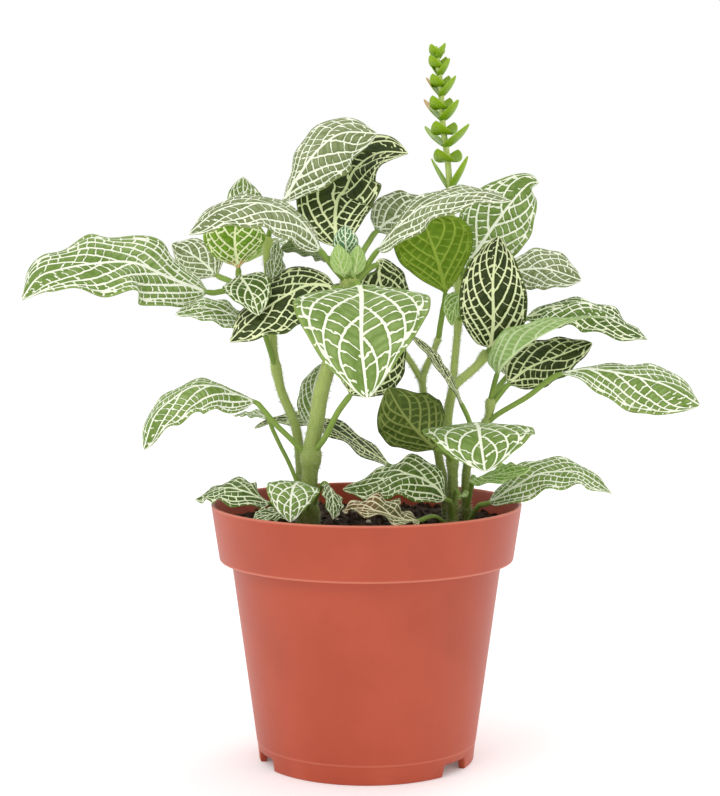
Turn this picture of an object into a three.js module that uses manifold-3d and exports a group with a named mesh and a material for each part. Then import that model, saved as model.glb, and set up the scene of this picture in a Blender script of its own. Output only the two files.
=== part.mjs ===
// A nerve plant (Fittonia) in a plastic nursery pot. Millimetres, +Z up.
// The origin is the middle of the pot's foot, on the surface that it stands on.
// The pot and the soil are turned shapes. Each leaf is one blade with its leaf stalk,
// lofted along a centre line that starts on the stem which bears it.
import * as THREE from "three";
import { mergeVertices } from "three/addons/utils/BufferGeometryUtils.js";
import Module from "manifold-3d";

const wasm = await Module();
wasm.setup();

// Pot.
const POT_HEIGHT = 100;
const RIM_RADIUS = 60;
const FOOT_RADIUS = 41.8;
const POT_WALL = 1.2;
const COLLAR_HEIGHT = 21.6;
const COLLAR_TAPER = 3.2; // how far the collar draws in from the rim to its lower edge
const COLLAR_STEP = 4.5; // from the collar's lower edge in to the body
const FLOOR_LIFT = 5; // underside of the floor above the table
const FOOT_RING_WALL = 2.4;
const NOTCH_COUNT = 3;
const NOTCH_WIDTH = 14;
const NOTCH_HEIGHT = 4.6;
const NOTCH_TURN = 53; // degrees from the front, towards +X, to the middle of the first notch
const DRAIN_COUNT = 6;
const DRAIN_RADIUS = 3.5;
const DRAIN_CIRCLE = 24;
const POT_SIDES = 48;

// Soil.
const SOIL_BELOW_RIM = 7.5;
const SOIL_MOUND = 1;
const SOIL_GAP = 0.3; // between the soil and the pot, and round each buried stem
const STEM_DEPTH = 12; // how far a stem goes into the soil

// Stems and leaves.
const CENTRE_STEM_RADIUS = 2.7;
const LEFT_STEM_RADIUS = 2;
const RIGHT_STEM_RADIUS = 2.1;
const RIGHT_BACK_STEM_RADIUS = 1.8;
const FORKED_STEM_RADIUS = 1.9;
const TWIG_RADIUS = 1.2;
const FLOWER_STALK_RADIUS = 1.2;
const STEM_SIDES = 8;
const LEAF_STALK_RADIUS = 0.8;
const LEAF_THICKNESS = 0.7;
const JOINT_GAP = 1.1; // from a stem's skin to the foot of a leaf stalk
const LEAF_TIP_WIDTH = 0.5;
const BLADE_STATIONS = 11;
const STALK_STATIONS = 2;

// Flower spike.
const BRACT_LEVELS = 12;
const BRACT_LENGTH_LOW = 10.5;
const BRACT_LENGTH_HIGH = 4.6;
const BRACT_START = 0.62; // share of the flower stalk below the lowest bracts
const BRACT_SPACING_POWER = 0.8;
const BRACT_LEAN = 0.5; // radians that a bract's top leans out
const BRACT_STAND_OFF = 0.27; // from the stalk to a bract's middle, as a share of its length

// Worked out from the sizes above.
const SOIL_TOP = POT_HEIGHT - SOIL_BELOW_RIM;
const COLLAR_Z = POT_HEIGHT - COLLAR_HEIGHT;
const COLLAR_FOOT_RADIUS = RIM_RADIUS - COLLAR_TAPER;
const BODY_TOP_RADIUS = COLLAR_FOOT_RADIUS - COLLAR_STEP;
const FLOOR_TOP = FLOOR_LIFT + POT_WALL;

const plant = new THREE.Group();
plant.name = "potted_nerve_plant";

// A place in the plant: x and y from the pot's axis, z above the top of the soil.
const place = ([x, y, z]) => new THREE.Vector3(x, y, SOIL_TOP + z);

// A smooth centre line through a list of points.
const lineThrough = (points) =>
  new THREE.CatmullRomCurve3(points, false, "catmullrom", 0.5);

function solidOf(geometry) {
  geometry.deleteAttribute("normal");
  geometry.deleteAttribute("uv");
  const merged = mergeVertices(geometry, 1e-4);
  return new wasm.Manifold(
    new wasm.Mesh({
      numProp: 3,
      vertProperties: merged.attributes.position.array,
      triVerts: new Uint32Array(merged.index.array),
    }),
  );
}

function geometryOf(solid) {
  const mesh = solid.getMesh();
  return new THREE.BufferGeometry()
    .setAttribute("position", new THREE.BufferAttribute(mesh.vertProperties, 3))
    .setIndex(new THREE.BufferAttribute(mesh.triVerts, 1));
}

function addPiece(name, geometry, colour, roughness) {
  const material = new THREE.MeshStandardMaterial({ color: colour, roughness, metalness: 0 });
  const mesh = new THREE.Mesh(geometry, material);
  mesh.name = name;
  plant.add(mesh);
}

// A profile of [radius, height] points turned round the vertical axis.
function turned(profile) {
  const points = profile.map(([radius, height]) => new THREE.Vector2(radius, height));
  return new THREE.LatheGeometry(points, POT_SIDES).rotateX(Math.PI / 2);
}

// Radius of the inner face of the pot's wall at a height.
function bodyInside(z) {
  const share = z / COLLAR_Z;
  return FOOT_RADIUS + (BODY_TOP_RADIUS - FOOT_RADIUS) * share - POT_WALL;
}

function collarInside(z) {
  const share = (z - COLLAR_Z) / COLLAR_HEIGHT;
  return COLLAR_FOOT_RADIUS + COLLAR_TAPER * share - POT_WALL;
}

function makePot() {
  const stepTop = COLLAR_Z + POT_WALL;
  let pot = solidOf(
    turned([
      [0, FLOOR_LIFT],
      [FOOT_RADIUS - FOOT_RING_WALL, FLOOR_LIFT],
      [FOOT_RADIUS - FOOT_RING_WALL, 0],
      [FOOT_RADIUS, 0],
      [BODY_TOP_RADIUS, COLLAR_Z],
      [COLLAR_FOOT_RADIUS, COLLAR_Z],
      [RIM_RADIUS, POT_HEIGHT],
      [RIM_RADIUS - POT_WALL, POT_HEIGHT],
      [collarInside(stepTop), stepTop],
      [bodyInside(stepTop), stepTop],
      [bodyInside(FLOOR_TOP), FLOOR_TOP],
      [0, FLOOR_TOP],
    ]),
  );
  for (let i = 0; i < NOTCH_COUNT; i++) {
    const notch = new THREE.BoxGeometry(FOOT_RADIUS, NOTCH_WIDTH, 2 * NOTCH_HEIGHT);
    const turn = ((NOTCH_TURN - 90) * Math.PI) / 180 + (i * 2 * Math.PI) / NOTCH_COUNT;
    notch.translate(FOOT_RADIUS, 0, 0).rotateZ(turn);
    pot = pot.subtract(solidOf(notch));
  }
  for (let i = 0; i < DRAIN_COUNT; i++) {
    const drain = new THREE.CylinderGeometry(DRAIN_RADIUS, DRAIN_RADIUS, 4 * FLOOR_LIFT, 12);
    drain.rotateX(Math.PI / 2).translate(DRAIN_CIRCLE, 0, FLOOR_LIFT);
    drain.rotateZ((i * 2 * Math.PI) / DRAIN_COUNT);
    pot = pot.subtract(solidOf(drain));
  }
  addPiece("pot", geometryOf(pot), 0xbf5f49, 0.45);
}

// Turns an upright unit cylinder into a limb: every ring of it is laid on a section.
// section(share, angle) gives the point of the skin, centre(share) the middle of the ring.
function limb(sides, rings, centre, section) {
  const geometry = new THREE.CylinderGeometry(1, 1, 1, sides, rings);
  const position = geometry.attributes.position;
  const point = new THREE.Vector3();
  for (let i = 0; i < position.count; i++) {
    point.fromBufferAttribute(position, i);
    const share = Math.round((point.y + 0.5) * rings) / rings;
    const angle = Math.atan2(point.z, point.x);
    const onAxis = Math.hypot(point.x, point.z) < 0.5;
    const put = onAxis ? centre(share) : section(share, angle);
    position.setXYZ(i, put.x, put.y, put.z);
  }
  return geometry;
}

// Stems: the route of each above the soil, its radius at the foot and at the top.
const stemRoutes = {
  centre_stem: {
    radius: CENTRE_STEM_RADIUS,
    topShare: 0.8,
    rooted: true,
    route: [[-22, -10, 1], [-22, -10, 11], [-21, -12, 29], [-19, -13, 40], [-17, -13, 52],
      [-12, -13, 69], [-8, -12, 84], [-6, -13, 96]],
  },
  left_stem: {
    radius: LEFT_STEM_RADIUS,
    topShare: 0.7,
    rooted: true,
    route: [[-25, -1, 1], [-25, -1, 10], [-26, 0, 28], [-28, 0, 39], [-33, 2, 51], [-36, 3, 66],
      [-37, 4, 78], [-38, 6, 93], [-38, 8, 109]],
  },
  left_twig: {
    radius: TWIG_RADIUS,
    topShare: 0.9,
    partOf: "left_stem",
    route: [[-37, 3, 73], [-43, 2, 81], [-48, 0, 92]],
  },
  right_stem: {
    radius: RIGHT_STEM_RADIUS,
    topShare: 0.75,
    rooted: true,
    route: [[33, -6, 1], [33, -4, 24], [31, -4, 38], [33, -3, 51], [36, -2, 55], [42, 0, 60],
      [47, 2, 65]],
  },
  right_back_stem: {
    radius: RIGHT_BACK_STEM_RADIUS,
    topShare: 0.8,
    rooted: true,
    route: [[39, 6, 1], [39, 6, 19], [43, 4, 31], [47, 2, 40], [48, 1, 47]],
  },
  forked_stem: {
    radius: FORKED_STEM_RADIUS,
    topShare: 0.6,
    rooted: true,
    route: [[32, 13, 1], [31, 14, 7], [28, 14, 26], [24, 13, 40], [22, 12, 52], [23, 12, 58],
      [26, 10, 65], [28, 6, 71]],
  },
  fork_twig: {
    radius: TWIG_RADIUS,
    topShare: 0.8,
    partOf: "forked_stem",
    route: [[22, 12, 53], [18, 10, 60], [13.5, 9, 67], [11, 9, 74]],
  },
  flower_stalk: {
    radius: FLOWER_STALK_RADIUS,
    topShare: 0.5,
    partOf: "right_stem",
    route: [[33, -3, 49], [34, 5, 60], [36, 16, 77], [36, 23, 95], [34, 26, 114], [33, 26, 128],
      [32, 25, 140], [30, 24, 154], [29, 23, 169], [27, 22, 184]],
  },
};

for (const stem of Object.values(stemRoutes)) {
  stem.line = lineThrough(stem.route.map(place));
}

const radiusAt = (stem, share) => stem.radius * (1 - (1 - stem.topShare) * share);

// A round limb along a line, with its sections square to the line.
function roundLimb(line, sides, rings, radius) {
  const frame = (share) => {
    const along = line.getTangentAt(share);
    const side = new THREE.Vector3(1, 0, 0).addScaledVector(along, -along.x).normalize();
    return { middle: line.getPointAt(share), side, front: side.clone().cross(along) };
  };
  return limb(
    sides,
    rings,
    (share) => frame(share).middle,
    (share, angle) => {
      const { middle, side, front } = frame(share);
      return middle
        .addScaledVector(side, radius(share) * Math.cos(angle))
        .addScaledVector(front, radius(share) * Math.sin(angle));
    },
  );
}

// The stretch of a stem that is buried in the soil, wider by the clearance for its socket.
function buriedEnd(stem, clearance) {
  const [x, y, z] = stem.route[0];
  const length = STEM_DEPTH + z + clearance;
  const end = new THREE.CylinderGeometry(
    stem.radius + clearance, stem.radius + clearance, length, STEM_SIDES,
  );
  end.rotateX(Math.PI / 2);
  return end.translate(x, y, SOIL_TOP + z - length / 2);
}

function makeSoil() {
  const stepTop = COLLAR_Z + POT_WALL + SOIL_GAP;
  const foot = FLOOR_TOP + SOIL_GAP;
  let soil = solidOf(
    turned([
      [0, foot],
      [bodyInside(foot) - SOIL_GAP, foot],
      [bodyInside(stepTop) - SOIL_GAP, stepTop],
      [collarInside(stepTop) - SOIL_GAP, stepTop],
      [collarInside(SOIL_TOP) - SOIL_GAP, SOIL_TOP - SOIL_MOUND],
      [RIM_RADIUS / 2, SOIL_TOP - SOIL_MOUND / 4],
      [0, SOIL_TOP],
    ]),
  );
  for (const stem of Object.values(stemRoutes).filter((one) => one.rooted)) {
    soil = soil.subtract(solidOf(buriedEnd(stem, SOIL_GAP)));
  }
  addPiece("soil", geometryOf(soil), 0x3b2a20, 0.95);
}

// A small cupped scale that stands off the flower stalk, its base inside the stalk.
function bract(share, turn, length) {
  const line = stemRoutes.flower_stalk.line;
  const scale = new THREE.SphereGeometry(0.5, 6, 5);
  scale.scale(length * 0.5, length * 0.95, length);
  scale.rotateY(BRACT_LEAN).translate(length * BRACT_STAND_OFF, 0, length * 0.35).rotateZ(turn);
  const foot = line.getPointAt(share);
  return solidOf(scale.translate(foot.x, foot.y, foot.z));
}

function makeStems() {
  const solids = {};
  for (const [name, stem] of Object.entries(stemRoutes)) {
    const rings = 2 * (stem.route.length - 1);
    let solid = solidOf(
      roundLimb(stem.line, STEM_SIDES, rings, (share) => radiusAt(stem, share)),
    );
    if (stem.rooted) solid = solid.add(solidOf(buriedEnd(stem, 0)));
    if (stem.partOf) solids[stem.partOf] = solids[stem.partOf].add(solid);
    else solids[name] = solid;
  }
  for (let level = 0; level < BRACT_LEVELS; level++) {
    const share = (level / (BRACT_LEVELS - 1)) ** BRACT_SPACING_POWER;
    const along = BRACT_START + (0.985 - BRACT_START) * share;
    const length = BRACT_LENGTH_LOW + (BRACT_LENGTH_HIGH - BRACT_LENGTH_LOW) * share;
    for (const side of [0, Math.PI]) {
      const turn = side + (level % 2 ? 0 : Math.PI / 2);
      solids.right_stem = solids.right_stem.add(bract(along, turn, length));
    }
  }
  const colours = { centre_stem: 0x9aa86a, left_stem: 0x8b9a62 };
  for (const [name, solid] of Object.entries(solids)) {
    addPiece(name, geometryOf(solid), colours[name] ?? 0x7f9455, 0.6);
  }
}

// Half width of a blade at a share of its length, as a part of its widest half width.
const outline = (share) => Math.sin(Math.PI * share ** 0.8) ** 0.75;

// Turns the dividing line of each quad on the under skin of a blade, its middle half of the quads, so
// that both skins of a twisted blade bend along the same lines.
function matchSkins(geometry, quads) {
  const index = geometry.index;
  for (let first = 1.5 * quads; first < 4.5 * quads; first += 6) {
    const [a, b, d, c] = [0, 1, 2, 4].map((k) => index.getX(first + k));
    [a, b, c, a, c, d].forEach((corner, k) => index.setX(first + k, corner));
  }
}

// One leaf: its stalk and blade along a line that starts on the stem.
// on, at: the stem and the share of its length where the stalk stands.
// bladeFrom: which point of the line, the foot counted as the first, ends the stalk.
// fold: degrees by which each half is raised. faces, tipFaces: where the upper side looks.
function makeLeaf(name, on, at, bladeFrom, halfWidth, fold, faces, tipFaces, colour, path) {
  const stem = stemRoutes[on];
  const joint = stem.line.getPointAt(at);
  const along = stem.line.getTangentAt(at);
  const points = path.map(place);
  const out = at === 1 ? along.clone() : points[0].clone().sub(joint);
  if (at < 1) out.addScaledVector(along, -out.dot(along)).normalize();
  const clear = at === 1 ? JOINT_GAP : radiusAt(stem, at) + JOINT_GAP;
  const line = lineThrough([joint.addScaledVector(out, clear), ...points]);
  line.arcLengthDivisions = 20 * path.length;
  const lengths = line.getLengths();
  const bladeStart = lengths[20 * bladeFrom] / lengths[lengths.length - 1];
  const rings = STALK_STATIONS + BLADE_STATIONS;
  const lift = (fold * Math.PI) / 180;
  const base = new THREE.Vector3(...faces);
  const tip = new THREE.Vector3(...tipFaces);

  const frame = (share) => {
    const ring = share * rings;
    const onBlade = Math.max(0, ring - STALK_STATIONS) / BLADE_STATIONS;
    const whole = ring < STALK_STATIONS
      ? (bladeStart * ring) / STALK_STATIONS
      : bladeStart + (1 - bladeStart) * onBlade;
    const tangent = line.getTangentAt(whole);
    const up = base.clone().lerp(tip, onBlade);
    const side = tangent.clone().cross(up).normalize();
    return { onBlade, middle: line.getPointAt(whole), side, up: side.clone().cross(tangent) };
  };
  const section = (share, angle) => {
    const { onBlade, middle, side, up } = frame(share);
    if (onBlade === 0) {
      return middle
        .addScaledVector(side, LEAF_STALK_RADIUS * Math.cos(angle))
        .addScaledVector(up, LEAF_STALK_RADIUS * Math.sin(angle));
    }
    const half = Math.max(LEAF_TIP_WIDTH, halfWidth * outline(onBlade));
    const eighth = Math.round((angle * 4) / Math.PI); // -4 to 4, round the ring of eight points
    const v = 1 - Math.abs(eighth) / 2; // 1 at one margin, 0 on the midrib, -1 at the other
    const skin = Math.abs(v) === 1 ? 0 : Math.sign(eighth);
    return middle
      .addScaledVector(side, half * v * Math.cos(lift))
      .addScaledVector(up, half * Math.abs(v) * Math.sin(lift) + (skin * LEAF_THICKNESS) / 2);
  };
  const geometry = limb(8, rings, (share) => frame(share).middle, section);
  matchSkins(geometry, 8 * rings);
  addPiece(name, mergeVertices(geometry.deleteAttribute("normal").deleteAttribute("uv"), 1e-4),
    colour, 0.5);
}

const GREEN = 0x4f7a35;
const DARK = 0x24402a;
const GREY = 0x6e8663;
const BRIGHT = 0x7fa03c;

const leaves = [
  ["bud_leaf", "centre_stem", 1, 2, 5, -15, [0, -1, 0.1], [0, -1, 0.3], GREEN,
    [[-6.7, -15.5, 99.5], [-7.3, -16.5, 103], [-7.8, -18, 107], [-8, -18, 111],
      [-8, -16.5, 114.5]]],
  ["young_leaf_left", "centre_stem", 0.98, 1, 4.4, 12, [0.2, 0.95, 0.2], [0.2, 0.95, 0.2], BRIGHT,
    [[-8.4, -19.4, 95.5], [-9.6, -21.8, 99.5], [-10.4, -22.8, 103.5], [-10.8, -22.6, 107.5]]],
  ["young_leaf_right", "centre_stem", 0.98, 1, 4, 12, [-0.2, 0.95, 0.2], [-0.2, 0.95, 0.2], BRIGHT,
    [[-5, -18, 95.5], [-3.9, -20.4, 99.5], [-3.3, -21, 103.5], [-3, -20.8, 107]]],
  ["upper_left_leaf", "centre_stem", 0.95, 2, 14, -20, [0, -0.5, 0.86], [0, -0.5, 0.85], GREY,
    [[-12, -17, 98], [-17, -21, 105], [-25, -25, 116], [-38, -29, 122], [-53, -33, 120],
      [-65, -35, 111]]],
  ["upper_right_leaf", "centre_stem", 0.95, 2, 13, -12, [-0.2, -0.45, 0.85], [0, -0.4, 0.9], GREY,
    [[-1, -16, 98], [4, -21, 105], [12, -26, 114], [21, -28, 121], [32, -30, 125], [43, -30, 126],
      [53, -29, 123]]],
  ["front_heart_leaf", "centre_stem", 0.93, 2, 25, -6, [0, -0.35, 0.93], [0, -0.95, 0.3], GREEN,
    [[-4, -22, 93], [-3, -27, 92], [-2, -42, 89], [-2, -55, 82], [-2, -64, 72], [-1, -69, 63],
      [0, -71, 54]]],
  ["dark_left_leaf", "centre_stem", 0.9, 2, 15, -15, [-0.1, -0.75, 0.65], [-0.3, -0.6, 0.7], DARK,
    [[-9, -18, 90], [-12, -18, 91], [-21, -19, 92], [-30, -20, 88], [-39, -21, 82], [-45, -22, 77],
      [-51, -23, 71]]],
  ["tall_back_leaf", "centre_stem", 0.98, 2, 16, 10, [-0.1, -0.95, 0.3], [-0.3, -0.6, 0.7], DARK,
    [[-9, -7, 100], [-11, -2, 106], [-12, 5, 116], [-11, 9, 124], [-8, 11, 128], [-4, 13, 136],
      [5, 13, 142], [16, 10, 142]]],
  ["upper_back_leaf", "centre_stem", 0.955, 3, 11, 0, [0, -0.9, 0.45], [0, -0.8, 0.6], GREY,
    [[-2, -2, 103], [1, 6, 108], [4, 12, 112], [11, 15, 117], [19, 17, 119], [29, 18, 121]]],
  ["shaded_leaf", "centre_stem", 0.93, 2, 9, 0, [0, 0.5, 0.85], [0, 0.5, 0.85], DARK,
    [[-11, -6, 100], [-15, -2, 102], [-22, 1, 105], [-28, 3, 106], [-33, 3, 105]]],
  ["dark_back_leaf", "centre_stem", 0.9, 2, 12, -10, [0.2, -0.8, 0.5], [0.2, -0.9, 0.3], DARK,
    [[-2, -5, 95], [4, 1, 99], [5, 6, 93], [8, 10, 83], [12, 13, 71]]],
  ["lower_front_leaf", "centre_stem", 0.3, 3, 12, 0, [0.5, -0.7, 0.5], [0.5, -0.7, 0.5], DARK,
    [[-16, -17, 34], [-11, -19, 44], [-6, -20, 51], [-1, -21, 58], [6, -19, 67], [13, -12, 75]]],
  ["inner_back_leaf", "centre_stem", 0.3, 2, 6, 0, [-0.3, -0.95, 0.1], [-0.3, -0.95, 0.1], DARK,
    [[-21, -5, 30], [-21, 0, 36], [-21, 4, 45], [-20, 6, 53], [-17, 7, 61]]],
  ["left_lower_leaf", "centre_stem", 0.28, 4, 11.5, -30, [0, -0.5, 0.85], [-0.2, -0.6, 0.75], GREEN,
    [[-29, -14, 34], [-34, -15, 39], [-39, -16, 45], [-42, -16, 48], [-49, -18, 51],
      [-56, -20, 54], [-65, -22, 54], [-73, -24, 49], [-79, -26, 43], [-83, -28, 31]]],
  ["left_hidden_leaf", "centre_stem", 0.08, 4, 4.5, 0, [0, -0.2, 1], [0, -0.2, 1], DARK,
    [[-29, -6, 22], [-33, -5, 30], [-36, -3, 36], [-38, 0, 40], [-42, 4, 41], [-47, 8, 41],
      [-52, 12, 40]]],
  ["top_left_leaf", "left_stem", 1, 3, 15, -28, [-0.5, -0.8, 0.35], [-0.3, -0.85, 0.45], GREY,
    [[-37, 6, 113], [-35, 3, 119], [-32, 0, 123], [-25, -3, 134], [-18, -4, 143], [-9, -3, 149],
      [4, -1, 149]]],
  ["top_left_back_leaf", "left_stem", 0.97, 2, 7, 0, [0, -1, 0.2], [0, -1, 0.2], GREEN,
    [[-41, 12, 112], [-45, 15, 117], [-47, 17, 122], [-48, 17, 127], [-48, 15, 133]]],
  ["narrow_upright_leaf", "left_stem", 0.66, 2, 6, 0, [0.8, -0.6, 0], [0.8, -0.6, 0], DARK,
    [[-37, 0, 84], [-37, -1, 88], [-36, -2, 95], [-35, -3, 102], [-34, -3, 109]]],
  ["left_small_lower_leaf", "left_stem", 0.55, 2, 8, -10, [0, -0.6, 0.8], [0, -0.6, 0.8], GREEN,
    [[-40, -4, 76], [-42, -6, 77], [-48, -9, 79], [-55, -12, 82], [-63, -14, 83], [-72, -15, 81]]],
  ["left_large_leaf", "left_twig", 0.8, 3, 16, -10, [0, -0.8, 0.6], [-0.2, -0.75, 0.6], GREY,
    [[-51, -1, 90], [-56, -2, 89], [-61, -3, 89], [-74, -9, 94], [-87, -17, 100], [-100, -26, 100],
      [-112, -32, 98], [-120, -35, 95], [-126, -36, 87]]],
  ["left_back_leaf", "left_twig", 0.85, 2, 9, 0, [0, -0.8, 0.6], [0, -0.8, 0.6], GREY,
    [[-53, 5, 93], [-58, 9, 95], [-64, 12, 100], [-70, 14, 104], [-76, 15, 107]]],
  ["backlit_upright_leaf", "left_twig", 1, 2, 12, 10, [0, -1, 0.1], [0, -1, 0.2], BRIGHT,
    [[-49, -1, 95], [-49, -2, 98], [-50, -4, 105], [-50, -4, 112], [-49, -2, 119]]],
  ["small_dark_leaf", "left_twig", 0.97, 2, 9, 0, [0.1, -0.9, 0.4], [0.2, -0.9, 0.4], DARK,
    [[-48, -9, 95], [-48, -12, 95], [-45, -19, 92], [-42, -24, 87], [-40, -27, 81]]],
  ["upper_right_back_leaf", "flower_stalk", 0.44, 2, 14.5, -5, [-0.1, -0.9, 0.4], [0.3, -0.8, 0.5], BRIGHT,
    [[39, 22, 95], [41, 22, 100], [46, 20.5, 108], [51.5, 20, 116], [57.5, 18.5, 124],
      [63, 17, 130], [67, 15, 131]]],
  ["bright_underside_leaf", "forked_stem", 1, 3, 16, 12, [0, 0.9, 0.4], [0, 0.8, 0.6], BRIGHT,
    [[28.5, 6, 75], [29.5, 6.5, 81], [30.5, 7.5, 88], [28, 7, 99], [24.5, 4, 109], [21, -1, 118]]],
  ["right_grey_leaf", "flower_stalk", 0.36, 3, 10.5, -5, [0.1, -0.75, 0.6], [0.2, -0.75, 0.6], GREY,
    [[42, 20, 94], [48, 16, 94], [53, 14, 95], [62, 12, 97], [71, 10, 97], [83, 7, 93]]],
  ["curled_small_leaf", "flower_stalk", 0.24, 2, 5, 20, [-0.5, -0.7, 0.5], [-0.5, -0.7, 0.3], BRIGHT,
    [[38, 9, 81], [37.5, 4, 87], [36, 1, 87], [34, -1, 83], [32.5, -2, 76]]],
  ["dark_oval_leaf", "right_stem", 1, 1, 13, 0, [0, -1, 0.15], [0, -1, 0.25], DARK,
    [[47.5, -4.5, 67.5], [47.5, -7, 71], [48, -10, 79], [47.5, -13, 92], [48.5, -11, 102],
      [50, -7, 110]]],
  ["right_back_leaf", "right_stem", 0.96, 3, 12, -20, [0, -0.45, 0.9], [0, -0.5, 0.85], GREEN,
    [[49, 7, 67], [56, 10, 73], [62, 11, 78], [73, 8, 83], [86, 3, 82], [96, -2, 77],
      [107, -6, 71]]],
  ["folded_pale_leaf", "right_back_stem", 1, 2, 11, 30, [-0.2, 0.5, 0.8], [0, -0.6, 0.8], BRIGHT,
    [[49, -1, 53], [50, -6, 58], [52, -11, 62], [59, -16, 69], [68, -21, 75], [80, -25, 80],
      [92, -27, 80]]],
  ["dark_lower_right_leaf", "right_back_stem", 0.93, 2, 12, -5, [0, -0.65, 0.75], [0, -0.65, 0.75], DARK,
    [[52, 2, 50], [55, 4, 53], [63, 5, 59], [75, 4, 64], [87, 2, 69]]],
  ["right_large_leaf", "right_back_stem", 0.8, 4, 14, -30, [0, -0.5, 0.85], [0, -0.85, 0.5], GREEN,
    [[51, 0, 42], [62, -3, 49], [69, -6, 55], [74, -8, 58], [83, -11, 60], [93, -14, 59],
      [103, -17, 57], [113, -19, 54], [125, -20, 47]]],
  ["edge_on_leaf", "right_back_stem", 0.5, 2, 7, 0, [0.7, -0.3, 0.65], [0.7, -0.3, 0.65], DARK,
    [[40, -6, 37], [36, -12, 47], [33, -15, 53], [28, -19, 60], [24, -21, 66], [20, -22, 70],
      [16, -23, 74]]],
  ["lower_centre_leaf", "right_stem", 0.35, 2, 14, 20, [-0.3, 0.75, 0.6], [-0.3, 0.7, 0.6], DARK,
    [[30, -10, 28], [26, -14, 30], [19, -20, 37], [13, -24, 45], [8, -25, 54]]],
  ["front_right_leaf", "right_stem", 0.4, 2, 21, -8, [0, -0.3, 0.95], [0, -0.7, 0.7], GREEN,
    [[37, -12, 35], [40, -20, 40], [41, -34, 40], [41, -46, 37], [42, -58, 27]]],
  ["front_right_under_leaf", "right_back_stem", 0.12, 2, 7.5, 0, [0, -0.5, 0.85], [0, -0.5, 0.85], BRIGHT,
    [[41, -4, 17], [41, -11, 18], [46, -20, 20], [53, -25, 22], [61, -27, 24]]],
  ["thin_back_leaf", "forked_stem", 0.25, 3, 11, 0, [0, -0.2, 1], [0, -0.2, 1], DARK,
    [[23, 14, 20], [15, 15, 17], [9, 16, 20], [-2, 17, 27], [-12, 17, 33], [-24, 16, 37],
      [-35, 15, 38], [-44, 14, 35]]],
  ["pot_front_leaf", "centre_stem", 0.02, 2, 10, -5, [0, -0.3, 0.95], [0, -0.85, 0.5], GREEN,
    [[-23, -19, 15], [-25, -24, 18], [-27, -30, 17.5], [-28, -36, 13], [-28, -41, 6]]],
  ["pot_green_leaf", "centre_stem", 0, 2, 5, 0, [0, -0.5, 0.85], [0, -0.5, 0.85], BRIGHT,
    [[-27, -14, 8], [-31, -19, 6.5], [-37, -25, 6], [-42, -30, 5]]],
  ["pot_dark_leaf", "centre_stem", 0.06, 2, 5.5, 0, [0.7, -0.6, 0.4], [0.7, -0.6, 0.4], DARK,
    [[-17, -15, 16], [-14.5, -20, 16.5], [-13, -27, 13], [-12.5, -34, 6]]],
  ["left_rim_leaf", "left_stem", 0, 3, 10, -10, [-0.1, -0.3, 0.95], [-0.1, -0.35, 0.9], DARK,
    [[-29, -6, 9], [-33, -9, 9], [-37, -13, 9], [-45, -14, 13], [-55, -9, 14], [-66, -3, 9]]],
  ["soil_dark_leaf", "right_stem", 0.05, 2, 13, -8, [0, -0.55, 0.85], [0, -0.5, 0.85], DARK,
    [[32, -13, 9], [30, -16, 11], [24, -17, 17], [14, -14, 20], [3, -8, 16], [-9, -4, 13]]],
  ["dried_curled_leaf", "right_stem", 0, 2, 6.5, 20, [0, -0.6, 0.8], [0, -0.6, 0.8], DARK,
    [[26, -21, 5], [19, -31, 5], [13, -36, 6], [6, -39, 9], [-2, -38, 10.5], [-9, -34, 9]]],
  ["stub_leaf", "right_stem", 0.12, 2, 2.5, 0, [0, -0.8, 0.6], [0, -0.8, 0.6], BRIGHT,
    [[34, -12, 14], [35.5, -16, 12], [36.5, -19, 13], [37.5, -22, 13]]],
  ["right_rim_leaf", "right_back_stem", 0, 2, 9, -8, [0, -0.6, 0.8], [0, -0.6, 0.8], GREEN,
    [[43, -2, 6], [47, -5, 8], [56, -8, 14], [65, -8, 19], [74, -6, 20], [83, -4, 19],
      [95, 0, 11]]],
  ["back_leaf_centre", "centre_stem", 0.87, 2, 17, -5, [0, 0.4, 0.9], [0, 0.8, 0.5], DARK,
    [[-6, -3, 95], [-5, 6, 93], [-3, 24, 90], [-2, 40, 82], [0, 52, 69], [2, 58, 55]]],
  ["back_leaf_right", "flower_stalk", 0.4, 2, 15, -5, [0, 0.3, 0.95], [0, 0.8, 0.5], DARK,
    [[38, 30, 92], [40, 35, 93], [44, 48, 95], [49, 61, 91], [54, 71, 79]]],
  ["back_leaf_left", "left_stem", 0.93, 2, 13, -5, [0, 0.3, 0.95], [0, 0.8, 0.5], DARK,
    [[-39, 14, 105], [-40, 20, 106], [-43, 38, 109], [-47, 54, 107], [-51, 66, 99]]],
  ["back_leaf_far_right", "right_back_stem", 0.97, 2, 11, -5, [0, 0.2, 0.95], [0, 0.6, 0.7], DARK,
    [[51, 8, 51], [56, 15, 56], [66, 32, 63], [75, 46, 66], [84, 58, 62]]],
];

makePot();
makeSoil();
makeStems();
for (const leaf of leaves) makeLeaf(...leaf);

export default plant;
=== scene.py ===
"""A white-veined nerve plant in a plastic nursery pot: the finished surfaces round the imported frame."""

import math
from contextlib import contextmanager

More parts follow.
